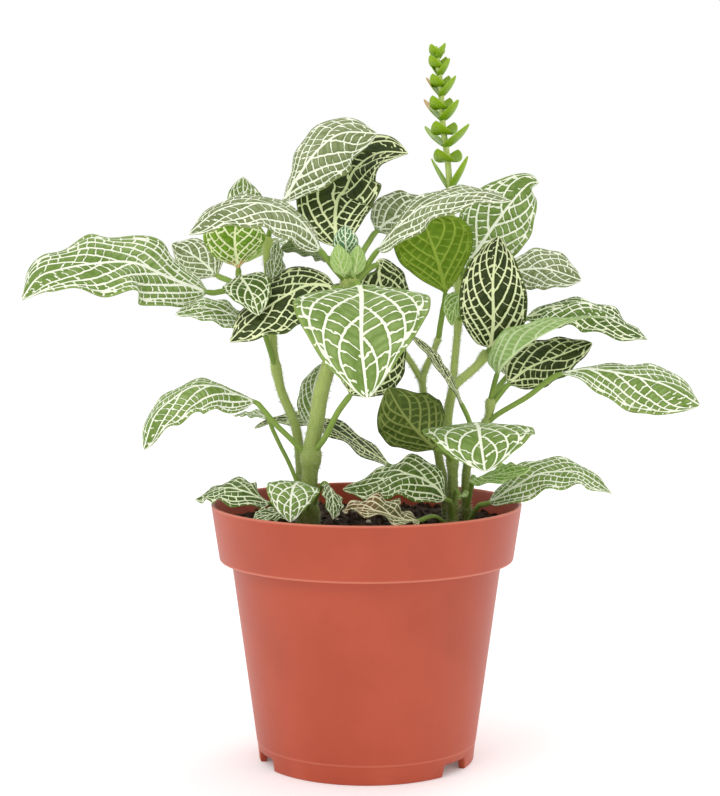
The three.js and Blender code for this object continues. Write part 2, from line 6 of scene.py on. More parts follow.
import bmesh
import bpy
import numpy as np
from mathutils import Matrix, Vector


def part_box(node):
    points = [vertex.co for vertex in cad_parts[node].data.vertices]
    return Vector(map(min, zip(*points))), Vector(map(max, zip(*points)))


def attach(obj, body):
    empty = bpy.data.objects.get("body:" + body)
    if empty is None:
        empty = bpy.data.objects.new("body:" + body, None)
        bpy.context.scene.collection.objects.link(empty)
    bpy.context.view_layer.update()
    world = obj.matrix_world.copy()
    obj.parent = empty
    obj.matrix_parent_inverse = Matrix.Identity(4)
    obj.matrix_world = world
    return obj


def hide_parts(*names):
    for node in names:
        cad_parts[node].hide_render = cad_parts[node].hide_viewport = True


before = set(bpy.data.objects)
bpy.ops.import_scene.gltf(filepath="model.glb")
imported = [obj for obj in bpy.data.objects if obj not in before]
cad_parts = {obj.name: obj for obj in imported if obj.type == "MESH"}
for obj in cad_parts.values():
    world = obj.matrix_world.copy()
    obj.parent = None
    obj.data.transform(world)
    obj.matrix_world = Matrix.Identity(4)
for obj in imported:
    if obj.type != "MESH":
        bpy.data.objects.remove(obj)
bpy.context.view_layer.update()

MM = 0.001
BODY = "root"
rng = np.random.default_rng(7)

# ---------------------------------------------------------------- sizes, millimetres
POT_HIGH = np.array(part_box("pot")[1]) / MM
POT_HEIGHT = POT_HIGH[2]
RIM_RADIUS = POT_HIGH[0]
FOOT_RADIUS = 41.8
FOOT_LINE_HEIGHT = 7.5
CREASE_HEIGHT = 7.0
CREASE_DEPTH = 0.25
CREASE_HALF = 0.4
POT_WALL = 1.2
COLLAR_HEIGHT = 21.6
COLLAR_TAPER = 3.2
COLLAR_STEP = 4.5
FLOOR_LIFT = 5.0
FOOT_RING_WALL = 2.4
NOTCH_WIDTH = 14.0
NOTCH_HEIGHT = 4.6
NOTCH_TURN = 53.0
NOTCH_COUNT = 3
NOTCH_REACH = 3.5  # how far in from the foot's edge a notch goes
DRAIN_COUNT = 6
DRAIN_RADIUS = 3.5
DRAIN_CIRCLE = 24.0
DRILL_SIDES = 24
POT_SIDES = 336
SOIL_BELOW_RIM = 7.5
SOIL_TOP = POT_HEIGHT - SOIL_BELOW_RIM
STALK_RADIUS = 1.15
BLADE_THICKNESS = 0.55

# ---------------------------------------------------------------- routes and leaves
# Stems: radius at the foot, share of it left at the top, and the route above the soil.
STEMS = {
    "centre_stem": (3.2, 0.8, [(-22, -10, -3), (-22, -10, 11), (-21, -12, 29), (-19, -13, 40),
                               (-17, -13, 52), (-12, -13, 69), (-8, -12, 84), (-6, -13, 97)]),
    "left_stem": (2.0, 0.7, [(-25, -1, -3), (-25, -1, 10), (-26, 0, 28), (-28, 0, 39), (-33, 2, 51),
                             (-36, 3, 66), (-37, 4, 78), (-38, 6, 93), (-38, 8, 110)]),
    "left_twig": (1.3, 0.8, [(-37, 3, 73), (-43, 2, 81), (-48, 0, 93)]),
    "right_stem": (2.1, 0.75, [(33, -6, -3), (33, -4, 24), (31, -4, 38), (33, -3, 51), (36, -2, 55),
                               (42, 0, 60), (47, 2, 66)]),
    "right_back_stem": (1.8, 0.8, [(39, 6, -3), (39, 6, 19), (43, 4, 31), (47, 2, 40), (48, 1, 48)]),
    "forked_stem": (1.9, 0.6, [(32, 13, -3), (31, 14, 7), (28, 14, 26), (24, 13, 40), (22, 12, 52),
                               (23, 12, 58), (26, 10, 65), (28, 6, 71)]),
    "fork_twig": (1.3, 0.8, [(22, 12, 53), (18, 10, 60), (13.5, 9, 67), (11, 9, 74)]),
    "flower_stalk": (1.4, 0.8, [(33, -3, 49), (34, 5, 60), (36, 16, 77), (36, 23, 95), (34, 26, 114),
                                (33, 26, 128), (32, 25, 140), (30, 24, 154), (29, 23, 169),
                                (27, 22, 184)]),
}

# Leaves: stem, share of the stem's length where the stalk stands, point that ends the stalk, half
# width, fold of each half in degrees, where the upper side looks at the base and at the tip, look,
# pairs of side veins, depth of the margin's waves, and the line from the stem to the tip.
LEAVES = {
    "bud_leaf": (
        "centre_stem", 1, 2, 5, -15, (0, -1, 0.1), (0, -1, 0.3), "bud", 4.5, 0.2,
        [(-6.7, -15.5, 99.5), (-7.3, -16.5, 103), (-7.8, -18, 107), (-8, -18, 111),
         (-8, -16.5, 114.5)]),
    "young_leaf_left": (
        "centre_stem", 0.98, 1, 4.4, 12, (0.2, 0.95, 0.2), (0.2, 0.95, 0.2), "young", 4, 0.1,
        [(-8.4, -19.4, 95.5), (-9.6, -21.8, 99.5), (-10.4, -22.8, 103.5), (-10.8, -22.6, 107.5)]),
    "young_leaf_right": (
        "centre_stem", 0.98, 1, 4, 12, (-0.2, 0.95, 0.2), (-0.2, 0.95, 0.2), "young", 4, 0.1,
        [(-5, -18, 95.5), (-3.9, -20.4, 99.5), (-3.3, -21, 103.5), (-3, -20.8, 107)]),
    "upper_left_leaf": (
        "centre_stem", 0.95, 2, 14, -20, (0, -0.5, 0.86), (0, -0.5, 0.85), "painted_sheen", 5, 0.8,
        [(-12, -17, 98), (-17, -21, 105), (-25, -25, 116), (-38, -29, 122), (-53, -33, 120),
         (-65, -35, 111)]),
    "upper_right_leaf": (
        "centre_stem", 0.95, 2, 13, -12, (-0.2, -0.45, 0.85), (0, -0.4, 0.9), "painted_sheen", 5, 0.7,
        [(-1, -16, 98), (4, -21, 105), (12, -26, 114), (21, -28, 121), (32, -30, 125), (43, -30, 126),
         (53, -29, 123)]),
    "front_heart_leaf": (
        "centre_stem", 0.93, 2, 25, -6, (0, -0.35, 0.93), (0, -0.95, 0.3), "green", 4.2, 0.5,
        [(-4, -22, 93), (-3, -27, 92), (-2, -42, 89), (-2, -55, 82), (-2, -64, 72), (-1, -69, 63),
         (0, -71, 54)]),
    "dark_left_leaf": (
        "centre_stem", 0.9, 2, 15, -15, (-0.1, -0.75, 0.65), (-0.3, -0.6, 0.7), "dark", 5, 1.0,
        [(-9, -18, 90), (-12, -18, 91), (-21, -19, 92), (-30, -20, 88), (-39, -21, 82), (-45, -22, 77),
         (-51, -23, 71)]),
    "tall_back_leaf": (
        "centre_stem", 0.98, 2, 16, 10, (-0.1, -0.95, 0.3), (-0.3, -0.6, 0.7), "dark", 5, 0.7,
        [(-9, -7, 100), (-11, -2, 106), (-12, 5, 116), (-11, 9, 124), (-8, 11, 128), (-4, 13, 136),
         (5, 13, 142), (16, 10, 142)]),
    "upper_back_leaf": (
        "centre_stem", 0.955, 3, 11, 0, (0, -0.9, 0.45), (0, -0.8, 0.6), "painted_sheen", 5, 0.7,
        [(-2, -2, 103), (1, 6, 108), (4, 12, 112), (11, 15, 117), (19, 17, 119), (29, 18, 121)]),
    "shaded_leaf": (
        "centre_stem", 0.93, 2, 9, 0, (0, 0.5, 0.85), (0, 0.5, 0.85), "dark", 5, 0.7,
        [(-11, -6, 100), (-15, -2, 102), (-22, 1, 105), (-28, 3, 106), (-33, 3, 105)]),
    "dark_back_leaf": (
        "centre_stem", 0.9, 2, 12, -10, (0.2, -0.8, 0.5), (0.2, -0.9, 0.3), "dark", 5, 0.7,
        [(-2, -5, 95), (4, 1, 99), (5, 6, 93), (8, 10, 83), (12, 13, 71)]),
    "lower_front_leaf": (
        "centre_stem", 0.3, 3, 12, 0, (0.5, -0.7, 0.5), (0.5, -0.7, 0.5), "dark", 5, 0.7,
        [(-16, -17, 34), (-11, -19, 44), (-6, -20, 51), (-1, -21, 58), (6, -19, 67), (13, -12, 75)]),
    "inner_back_leaf": (
        "centre_stem", 0.3, 2, 6, 0, (-0.3, -0.95, 0.1), (-0.3, -0.95, 0.1), "green", 5, 0.7,
        [(-21, -5, 30), (-21, 0, 36), (-21, 4, 45), (-20, 6, 53), (-17, 7, 61)]),
    "left_lower_leaf": (
        "centre_stem", 0.28, 4, 11.5, -30, (0, -0.5, 0.85), (-0.2, -0.6, 0.75), "green", 5, 1.2,
        [(-29, -14, 34), (-34, -15, 39), (-39, -16, 45), (-42, -16, 48), (-49, -18, 51),
         (-56, -20, 54), (-65, -22, 54), (-73, -24, 49), (-79, -26, 43), (-83, -28, 31)]),
    "left_hidden_leaf": (
        "centre_stem", 0.08, 4, 4.5, 0, (0, -0.2, 1), (0, -0.2, 1), "green", 5, 0.7,
        [(-29, -6, 22), (-33, -5, 30), (-36, -3, 36), (-38, 0, 40), (-42, 4, 41), (-47, 8, 41),
         (-52, 12, 40)]),
    "top_left_leaf": (
        "left_stem", 1, 3, 15, -28, (-0.5, -0.8, 0.35), (-0.3, -0.85, 0.45), "painted_sheen", 5, 0.7,
        [(-37, 6, 113), (-35, 3, 119), (-32, 0, 123), (-25, -3, 134), (-18, -4, 143), (-9, -3, 149),
         (4, -1, 149)]),
    "top_left_back_leaf": (
        "left_stem", 0.97, 2, 7, 0, (0, -1, 0.2), (0, -1, 0.2), "green", 5, 0.7,
        [(-41, 12, 112), (-45, 15, 117), (-47, 17, 122), (-48, 17, 127), (-48, 15, 133)]),
    "narrow_upright_leaf": (
        "left_stem", 0.66, 2, 6, 0, (0.8, -0.6, 0), (0.8, -0.6, 0), "green", 5, 0.7,
        [(-37, 0, 84), (-37, -1, 88), (-36, -2, 95), (-35, -3, 102), (-34, -3, 109)]),
    "left_small_lower_leaf": (
        "left_stem", 0.55, 2, 8, -10, (0, -0.6, 0.8), (0, -0.6, 0.8), "green", 5, 0.7,
        [(-40, -4, 76), (-42, -6, 77), (-48, -9, 79), (-55, -12, 82), (-63, -14, 83), (-72, -15, 81)]),
    "left_large_leaf": (
        "left_twig", 0.8, 3, 16, -10, (0, -0.8, 0.6), (-0.2, -0.75, 0.6), "green", 6.5, 2.2,
        [(-51, -1, 90), (-56, -2, 89), (-61, -3, 89), (-74, -9, 94), (-87, -17, 100), (-100, -26, 100),
         (-112, -32, 98), (-120, -35, 95), (-126, -36, 87)]),
    "left_back_leaf": (
        "left_twig", 0.85, 2, 9, 0, (0, -0.8, 0.6), (0, -0.8, 0.6), "painted_sheen", 5, 0.7,
        [(-53, 5, 93), (-58, 9, 95), (-64, 12, 100), (-70, 14, 104), (-76, 15, 107)]),
    "backlit_upright_leaf": (
        "left_twig", 1, 2, 12, 10, (0, -1, 0.1), (0, -1, 0.2), "sunlit", 5, 0.7,
        [(-49, -1, 95), (-49, -2, 98), (-50, -4, 105), (-50, -4, 112), (-49, -2, 119)]),
    "small_dark_leaf": (
        "left_twig", 0.97, 2, 9, 0, (0.1, -0.9, 0.4), (0.2, -0.9, 0.4), "mid", 4.5, 0.4,
        [(-48, -9, 95), (-48, -12, 95), (-45, -19, 92), (-42, -24, 87), (-40, -27, 81)]),
    "upper_right_back_leaf": (
        "flower_stalk", 0.44, 2, 14.5, -5, (-0.1, -0.9, 0.4), (0.3, -0.8, 0.5), "green", 5, 1.2,
        [(39, 22, 95), (41, 22, 100), (46, 20.5, 108), (51.5, 20, 116), (57.5, 18.5, 124),
         (63, 17, 130), (67, 15, 131)]),
    "bright_underside_leaf": (
        "forked_stem", 1, 3, 16, 12, (0, 0.9, 0.4), (0, 0.8, 0.6), "bright", 5, 0.7,
        [(28.5, 6, 75), (29.5, 6.5, 81), (30.5, 7.5, 88), (28, 7, 99), (24.5, 4, 109), (21, -1, 118)]),
    "right_grey_leaf": (
        "flower_stalk", 0.36, 3, 10.5, -5, (0.1, -0.75, 0.6), (0.2, -0.75, 0.6), "painted_sheen", 5, 0.7,
        [(42, 20, 94), (48, 16, 94), (53, 14, 95), (62, 12, 97), (71, 10, 97), (83, 7, 93)]),
    "curled_small_leaf": (
        "flower_stalk", 0.24, 2, 5, 20, (-0.5, -0.7, 0.5), (-0.5, -0.7, 0.3), "young", 5, 0.3,
        [(38, 9, 81), (37.5, 4, 87), (36, 1, 87), (34, -1, 83), (32.5, -2, 76)]),
    "dark_oval_leaf": (
        "right_stem", 1, 1, 13, 0, (0, -1, 0.15), (0, -1, 0.25), "dark", 6, 0.7,
        [(47.5, -4.5, 67.5), (47.5, -7, 71), (48, -10, 79), (47.5, -13, 92), (48.5, -11, 102),
         (50, -7, 110)]),
    "right_back_leaf": (
        "right_stem", 0.96, 3, 12, -20, (0, -0.45, 0.9), (0, -0.5, 0.85), "mid", 5, 1.3,
        [(49, 7, 67), (56, 10, 73), (62, 11, 78), (73, 8, 83), (86, 3, 82), (96, -2, 77),
         (107, -6, 71)]),
    "folded_pale_leaf": (
        "right_back_stem", 1, 2, 11, 30, (-0.2, 0.5, 0.8), (0, -0.6, 0.8), "pale", 5, 0.7,
        [(49, -1, 53), (50, -6, 58), (52, -11, 62), (59, -16, 69), (68, -21, 75), (80, -25, 80),
         (92, -27, 80)]),
    "dark_lower_right_leaf": (
        "right_back_stem", 0.93, 2, 12, -5, (0, -0.65, 0.75), (0, -0.65, 0.75), "dark", 4, 0.7,
        [(52, 2, 50), (55, 4, 53), (63, 5, 59), (75, 4, 64), (87, 2, 69)]),
    "right_large_leaf": (
        "right_back_stem", 0.8, 4, 14, -30, (0, -0.5, 0.85), (0, -0.85, 0.5), "green", 5.5, 0.8,
        [(51, 0, 42), (62, -3, 49), (69, -6, 55), (74, -8, 58), (83, -11, 60), (93, -14, 59),
         (103, -17, 57), (113, -19, 54), (125, -20, 47)]),
    "edge_on_leaf": (
        "right_back_stem", 0.5, 2, 7, 0, (0.7, -0.3, 0.65), (0.7, -0.3, 0.65), "dark", 5, 0.3,
        [(40, -6, 37), (36, -12, 47), (33, -15, 53), (28, -19, 60), (24, -21, 66), (20, -22, 70),
         (16, -23, 74)]),
    "lower_centre_leaf": (
        "right_stem", 0.35, 2, 14, 20, (-0.3, 0.75, 0.6), (-0.3, 0.7, 0.6), "mid", 5, 1.1,
        [(30, -10, 28), (26, -14, 30), (19, -20, 37), (13, -24, 45), (8, -25, 54)]),
    "front_right_leaf": (
        "right_stem", 0.4, 2, 21, -8, (0, -0.3, 0.95), (0, -0.7, 0.7), "green", 4.5, 0.7,
        [(37, -12, 35), (40, -20, 40), (41, -34, 40), (41, -46, 37), (42, -58, 27)]),
    "front_right_under_leaf": (
        "right_back_stem", 0.12, 2, 7.5, 0, (0, -0.5, 0.85), (0, -0.5, 0.85), "young", 5, 0.7,
        [(41, -4, 17), (41, -11, 18), (46, -20, 20), (53, -25, 22), (61, -27, 24)]),
    "thin_back_leaf": (
        "forked_stem", 0.25, 3, 11, 0, (0, -0.2, 1), (0, -0.2, 1), "dark", 5, 0.9,
        [(23, 14, 20), (15, 15, 17), (9, 16, 20), (-2, 17, 27), (-12, 17, 33), (-24, 16, 37),
         (-35, 15, 38), (-44, 14, 35)]),
    "pot_front_leaf": (
        "centre_stem", 0.02, 2, 10, -5, (0, -0.3, 0.95), (0, -0.85, 0.5), "green", 3.5, 0.5,
        [(-23, -19, 15), (-25, -24, 18), (-27, -30, 17.5), (-28, -36, 13), (-28, -41, 6)]),
    "pot_green_leaf": (
        "centre_stem", 0, 2, 5, 0, (0, -0.5, 0.85), (0, -0.5, 0.85), "mid", 5, 0.7,
        [(-27, -14, 8), (-31, -19, 6.5), (-37, -25, 6), (-42, -30, 5)]),
    "pot_dark_leaf": (
        "centre_stem", 0.06, 2, 5.5, 0, (0.7, -0.6, 0.4), (0.7, -0.6, 0.4), "mid", 5, 0.7,
        [(-17, -15, 16), (-14.5, -20, 16.5), (-13, -27, 13), (-12.5, -34, 6)]),
    "left_rim_leaf": (
        "left_stem", 0, 3, 10, -10, (-0.1, -0.3, 0.95), (-0.1, -0.35, 0.9), "mid", 5, 1.2,
        [(-29, -6, 9), (-33, -9, 9), (-37, -13, 9), (-45, -14, 13), (-55, -9, 14), (-66, -3, 9)]),
    "soil_dark_leaf": (
        "right_stem", 0.05, 2, 13, -8, (0, -0.55, 0.85), (0, -0.5, 0.85), "mid", 5, 1.2,
        [(32, -13, 9), (30, -16, 11), (24, -17, 17), (14, -14, 20), (3, -8, 16), (-9, -4, 13)]),
    "dried_curled_leaf": (
        "right_stem", 0, 2, 6.5, 20, (0, -0.6, 0.8), (0, -0.6, 0.8), "dried", 5, 2.2,
        [(26, -21, 5), (19, -31, 5), (13, -36, 6), (6, -39, 9), (-2, -38, 10.5), (-9, -34, 9)]),
    "stub_leaf": (
        "right_stem", 0.12, 2, 2.5, 0, (0, -0.8, 0.6), (0, -0.8, 0.6), "young", 3, 0.1,
        [(34, -12, 14), (35.5, -16, 12), (36.5, -19, 13), (37.5, -22, 13)]),
    "right_rim_leaf": (
        "right_back_stem", 0, 2, 9, -8, (0, -0.6, 0.8), (0, -0.6, 0.8), "green", 5, 1.2,
        [(43, -2, 6), (47, -5, 8), (56, -8, 14), (65, -8, 19), (74, -6, 20), (83, -4, 19),
         (95, 0, 11)]),
    "back_leaf_centre": (
        "centre_stem", 0.87, 2, 17, -5, (0, 0.4, 0.9), (0, 0.8, 0.5), "mid", 5, 0.7,
        [(-6, -3, 95), (-5, 6, 93), (-3, 24, 90), (-2, 40, 82), (0, 52, 69), (2, 58, 55)]),
    "back_leaf_right": (
        "flower_stalk", 0.4, 2, 15, -5, (0, 0.3, 0.95), (0, 0.8, 0.5), "green", 5, 0.7,
        [(38, 30, 92), (40, 35, 93), (44, 48, 95), (49, 61, 91), (54, 71, 79)]),
    "back_leaf_left": (
        "left_stem", 0.93, 2, 13, -5, (0, 0.3, 0.95), (0, 0.8, 0.5), "green", 5, 0.7,
        [(-39, 14, 105), (-40, 20, 106), (-43, 38, 109), (-47, 54, 107), (-51, 66, 99)]),
    "back_leaf_far_right": (
        "right_back_stem", 0.97, 2, 11, -5, (0, 0.2, 0.95), (0, 0.6, 0.7), "mid", 5, 0.7,
        [(51, 8, 51), (56, 15, 56), (66, 32, 63), (75, 46, 66), (84, 58, 62)]),
}

# ---------------------------------------------------------------- lines and meshes
LINE_STEPS = 20


def unit(vectors):
    """Vectors scaled to length one."""
    return vectors / np.maximum(np.linalg.norm(vectors, axis=-1, keepdims=True), 1e-9)


def smooth(values, low, high):
    """0 below low, 1 above high, and 3t^2 - 2t^3 between them."""
    t = np.clip((values - low) / (high - low), 0, 1)
    return t * t * (3 - 2 * t)


def line_through(points):
    """A Catmull-Rom line through points: on each stretch a cubic in t whose slope at a point is half
    the step from the point before it to the point after it."""
    p = np.asarray(points, float)
    p = np.vstack([2 * p[0] - p[1], p, 2 * p[-1] - p[-2]])
    t = np.linspace(0, 1, LINE_STEPS, endpoint=False)[:, None]
    stretches = [
        (2 * b - 2 * c + (c - a) / 2 + (d - b) / 2) * t**3
        + (3 * c - 3 * b - (c - a) - (d - b) / 2) * t**2 + (c - a) / 2 * t + b
        for a, b, c, d in zip(p[:-3], p[1:-2], p[2:-1], p[3:])
    ]
    return np.vstack([*stretches, p[-2:-1]])


def lengths_along(line):
    """Length of a line from its start to each of its points."""
    return np.r_[0, np.cumsum(np.linalg.norm(np.diff(line, axis=0), axis=1))]


def at_share(line, shares):
    """Points of a line at shares of its length."""
    run = lengths_along(line)
    return np.stack([np.interp(np.asarray(shares) * run[-1], run, line[:, k]) for k in range(3)], -1)


def directions_at(line, shares, reach=0.006):
    """Unit directions of a line at shares of its length, from a short chord round each place."""
    ahead = at_share(line, np.clip(np.asarray(shares) + reach, 0, 1))
    behind = at_share(line, np.clip(np.asarray(shares) - reach, 0, 1))
    return unit(ahead - behind)


def above_soil(points):
    """Points given above the soil, put in the part's frame."""
    return np.asarray(points, float) + (0, 0, SOIL_TOP)


def full_turn(count):
    """Angles that part a full turn into count steps."""
    return np.linspace(0, 2 * np.pi, count, endpoint=False)


def stacked(*parts):
    """Arrays that broadcast together, side by side along a new last axis."""
    return np.stack(np.broadcast_arrays(*parts), -1)


def turned(radius, height, turn):
    """A profile turned round the upright axis: (r cos a, r sin a, z)."""
    return stacked(radius * np.cos(turn), radius * np.sin(turn), height)


def placed(name, data):
    """An object that shows the data, put in the scene."""
    made = bpy.data.objects.new(name, data)
    bpy.context.scene.collection.objects.link(made)
    return made


def grid_faces(rows, columns, closed=False, offset=0):
    """Quads of a grid of points laid row by row; closed joins the last column to the first."""
    across = columns if closed else columns - 1
    i, j = np.meshgrid(np.arange(rows - 1), np.arange(across), indexing="ij")
    k = (j + 1) % columns
    quads = np.stack([i * columns + j, i * columns + k, (i + 1) * columns + k, (i + 1) * columns + j], -1)
    return quads.reshape(-1, 4) + offset


def make_mesh(name, points, faces, materials, slots=None, maps=None):
    """A mesh in millimetres made an object in metres; maps are UV maps, two numbers for each point."""
    mesh = bpy.data.meshes.new(name)
    points = np.asarray(points).reshape(-1, 3)
    sides = faces.shape[1]
    mesh.vertices.add(len(points))
    mesh.vertices.foreach_set("co", (points * MM).astype(np.float32).ravel())
    mesh.loops.add(faces.size)
    mesh.loops.foreach_set("vertex_index", faces.ravel().astype(np.int32))
    mesh.polygons.add(len(faces))
    mesh.polygons.foreach_set("loop_start", np.arange(0, faces.size, sides, dtype=np.int32))
    mesh.update(calc_edges=True)
    mesh.polygons.foreach_set("use_smooth", np.ones(len(faces), bool))
    for material in materials:
        mesh.materials.append(material)
    if slots is not None:
        mesh.polygons.foreach_set("material_index", np.asarray(slots, np.int32))
    for title, values in (maps or {}).items():
        layer = mesh.uv_layers.new(name=title)
        corners = np.asarray(values).reshape(-1, 2)[faces.ravel()]
        layer.data.foreach_set("uv", corners.astype(np.float32).ravel())
    mesh.validate()
    return placed(name, mesh)


@contextmanager
def opened(piece):
    """A piece's mesh opened for edits, and written back when they are done."""
    shape = bmesh.new()
    shape.from_mesh(piece.data)
    yield shape
    shape.to_mesh(piece.data)
    shape.free()


def merge_doubles(piece, distance=1e-7):
    """Joins points that lie on each other, and drops faces that close up."""
    with opened(piece) as shape:
        bmesh.ops.remove_doubles(shape, verts=shape.verts, dist=distance)
        bmesh.ops.dissolve_degenerate(shape, edges=shape.edges, dist=distance / 10)


def closed_limb(name, points, materials, flipped=False):
    """A closed piece from rings of points: quads from ring to ring, one face over each end, and
    all of them turned outwards."""
    rows, sides = points.shape[:2]
    quads = grid_faces(rows, sides, closed=True)
    piece = make_mesh(name, points, quads[:, ::-1] if flipped else quads, materials)
    with opened(piece) as shape:
        shape.verts.ensure_lookup_table()
        first = [shape.verts[k] for k in range(sides)]
        last = [shape.verts[(rows - 1) * sides + k] for k in range(sides)][::-1]
        for loop in (first, last):
            shape.faces.new(loop).smooth = True
        bmesh.ops.recalc_face_normals(shape, faces=shape.faces)
    return piece


def carried(piece, slot, *nodes):
    """Hands a finished piece to the frame: its body and the nodes it stands for. The slot is not used."""
    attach(piece, BODY)
    if nodes:
        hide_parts(*nodes)


# ---------------------------------------------------------------- shader maths


def maths(operation, swapped=False):
    """A method that adds one Math node for a number and whatever it is given."""
    def method(self, *others):
        values = (*others, self) if swapped else (self, *others)
        node = self.finish.node("ShaderNodeMath", {"operation": operation}, dict(enumerate(values)))
        return Number(self.finish, node.outputs[0])
    return method


class Number:
    """A number on a socket. An expression on it adds Math nodes."""

    __add__ = __radd__ = maths("ADD")
    __sub__ = maths("SUBTRACT")
    __rsub__ = maths("SUBTRACT", swapped=True)
    __mul__ = __rmul__ = maths("MULTIPLY")
    __truediv__ = maths("DIVIDE")
    __pow__ = maths("POWER")
    size = maths("ABSOLUTE")
    least = maths("MINIMUM")
    most = maths("MAXIMUM")
    floor = maths("FLOOR")
    fraction = maths("FRACT")
    sine = maths("SINE")

    def __init__(self, finish, socket):
        self.finish = finish
        self.socket = socket

    def rise(self, low, high):
        """0 below low, 1 above high, smooth between them."""
        inputs = {"Value": self, "From Min": low, "From Max": high}
        node = self.finish.node("ShaderNodeMapRange", {"interpolation_type": "SMOOTHSTEP"}, inputs)
        return Number(self.finish, node.outputs[0])

    def line(self, half_width):
        """1 within 0.7 of half_width from nought, fading out to 0 at 1.7 of it."""
        return 1 - (self.size() / half_width).rise(0.7, 1.7)


class Finish:
    """A material and the nodes that make it."""

    def __init__(self, name, roughness=0.5, **constants):
        self.material = bpy.data.materials.new(name)
        self.material.use_nodes = True
        self.tree = self.material.node_tree
        self.shader = self.tree.nodes["Principled BSDF"]
        self.shader.inputs["Roughness"].default_value = roughness
        for socket, value in constants.items():
            self.shader.inputs[socket.replace("_", " ")].default_value = value

    def node(self, kind, settings=None, inputs=None):
        """A node of any kind. Its settings are set first, then its sockets get values or links."""
        made = self.tree.nodes.new(kind)
        for key, value in (settings or {}).items():
            setattr(made, key, value)
        for key, value in (inputs or {}).items():
            self.feed(made.inputs[key], value)
        return made

    def feed(self, socket, value):
        if isinstance(value, Number):
            value = value.socket
        if isinstance(value, bpy.types.NodeSocket):
            self.tree.links.new(value, socket)
        else:
            socket.default_value = value

    def map_xy(self, title):
        """Both numbers of a UV map."""
        layer = self.node("ShaderNodeUVMap", {"uv_map": title})
        return self.split(layer.outputs[0])[:2]

    def split(self, vector):
        """The three numbers of a vector."""
        parts = self.node("ShaderNodeSeparateXYZ", inputs={0: vector})
        return [Number(self, socket) for socket in parts.outputs]

    def place(self):
        return self.node("ShaderNodeTexCoord").outputs["Object"]

    def vector(self, x=0.0, y=0.0, z=0.0):
        return self.node("ShaderNodeCombineXYZ", inputs={0: x, 1: y, 2: z}).outputs[0]

    def noise(self, vector, scale, detail=3.0, rough=0.55):
        inputs = {"Vector": vector, "Scale": scale, "Detail": detail, "Roughness": rough}
        return Number(self, self.node("ShaderNodeTexNoise", inputs=inputs).outputs[0])

    def random(self, value):
        node = self.node("ShaderNodeTexWhiteNoise", {"noise_dimensions": "1D"}, {"W": value})
        return Number(self, node.outputs["Value"])

    def cells(self, vector, scale):
        """Distance to the nearest of many scattered points."""
        inputs = {"Vector": vector, "Scale": scale, "Randomness": 0.9}
        node = self.node("ShaderNodeTexVoronoi", {"feature": "F1"}, inputs)
        return Number(self, node.outputs["Distance"])

    def mix(self, share, first, second):
        """first where share is 0, second where it is 1; both are colours."""
        made = self.node("ShaderNodeMix", {"data_type": "RGBA"})
        self.feed(made.inputs[0], share)
        self.feed(made.inputs[6], first)
        self.feed(made.inputs[7], second)
        return made.outputs[2]

    def colour(self, socket):
        self.feed(self.shader.inputs["Base Color"], socket)
        return self

    def rough(self, number):
        self.feed(self.shader.inputs["Roughness"], number)
        return self

    def bump(self, height, distance, strength):
        inputs = {"Height": height, "Distance": distance, "Strength": strength}
        self.feed(self.shader.inputs["Normal"], self.node("ShaderNodeBump", inputs=inputs).outputs[0])
        return self


def rgb(red, green, blue):
    """A display colour from 0 to 255 as the linear colour that shaders take."""
    share = np.array([red, green, blue]) / 255
    linear = np.where(share <= 0.04045, share / 12.92, ((share + 0.055) / 1.055) ** 2.4)
    return (*linear.tolist(), 1.0)


# ---------------------------------------------------------------- leaf finishes

# Each look's slot, then the upper side's shaded green, lit green, rim of the veins and veins, then
# the under side's green, green near the veins and veins. Several looks are painted light on both
# sides: the first is painted grey sheen, dark is painted shade, mid is green darkened part way as
# painted shade, and bright and sunlit are painted backlight shining through the blade.
LOOKS = {
    # Painted sheen: grey-green that stands in for light glancing off the upper side.
    "painted_sheen": ("silvery_leaf", ((98, 112, 58), (146, 158, 108), (168, 184, 112), (245, 249, 226)),
               ((128, 156, 86), (158, 182, 112), (206, 220, 158))),
    "green": ("green_leaf", ((96, 126, 40), (142, 167, 92), (170, 194, 96), (249, 252, 232)),
              ((120, 158, 62), (150, 184, 88), (200, 220, 140))),
    "pale": ("green_leaf", ((74, 106, 22), (124, 150, 70), (170, 194, 96), (249, 252, 232)),
             ((140, 172, 96), (168, 198, 126), (212, 230, 176))),
    # Painted shade, part way: green darkened for leaves that lie low or partly in shade.
    "mid": ("dark_leaf", ((62, 90, 14), (104, 130, 50), (140, 166, 64), (245, 251, 216)),
            ((66, 86, 24), (92, 112, 40), (146, 160, 84))),
    # Painted shade: leaves at the back and inside the plant, darkened as if in shade.
    "dark": ("dark_leaf", ((34, 48, 2), (64, 78, 16), (108, 132, 42), (240, 247, 192)),
             ((84, 104, 58), (108, 128, 74), (150, 170, 104))),
    # Painted backlight: bright yellow-green that stands in for light shining through the blade.
    "bright": ("young_leaf", ((88, 126, 12), (124, 158, 44), (172, 198, 80), (240, 247, 194)),
               ((98, 132, 14), (122, 154, 34), (164, 190, 70))),
    "young": ("young_leaf", ((118, 160, 58), (156, 190, 98), (170, 204, 116), (216, 234, 170)),
              ((150, 190, 92), (172, 206, 116), (208, 228, 158))),
    "dried": ("dark_leaf", ((86, 70, 38), (112, 132, 70), (168, 160, 104), (232, 226, 190)),
              ((128, 118, 66), (146, 132, 80), (184, 170, 118))),
    # Painted backlight: light shining through the blade, as for the bright look.
    "sunlit": ("young_leaf", ((92, 132, 10), (130, 168, 40), (176, 204, 80), (240, 247, 194)),
               ((98, 132, 14), (122, 154, 34), (164, 190, 70))),
    "bud": ("young_leaf", ((66, 118, 70), (104, 150, 104), (150, 190, 130), (236, 246, 214)),
            ((120, 160, 96), (140, 178, 110), (180, 208, 140))),
}
SUNLIT_ORANGE = rgb(232, 150, 92)
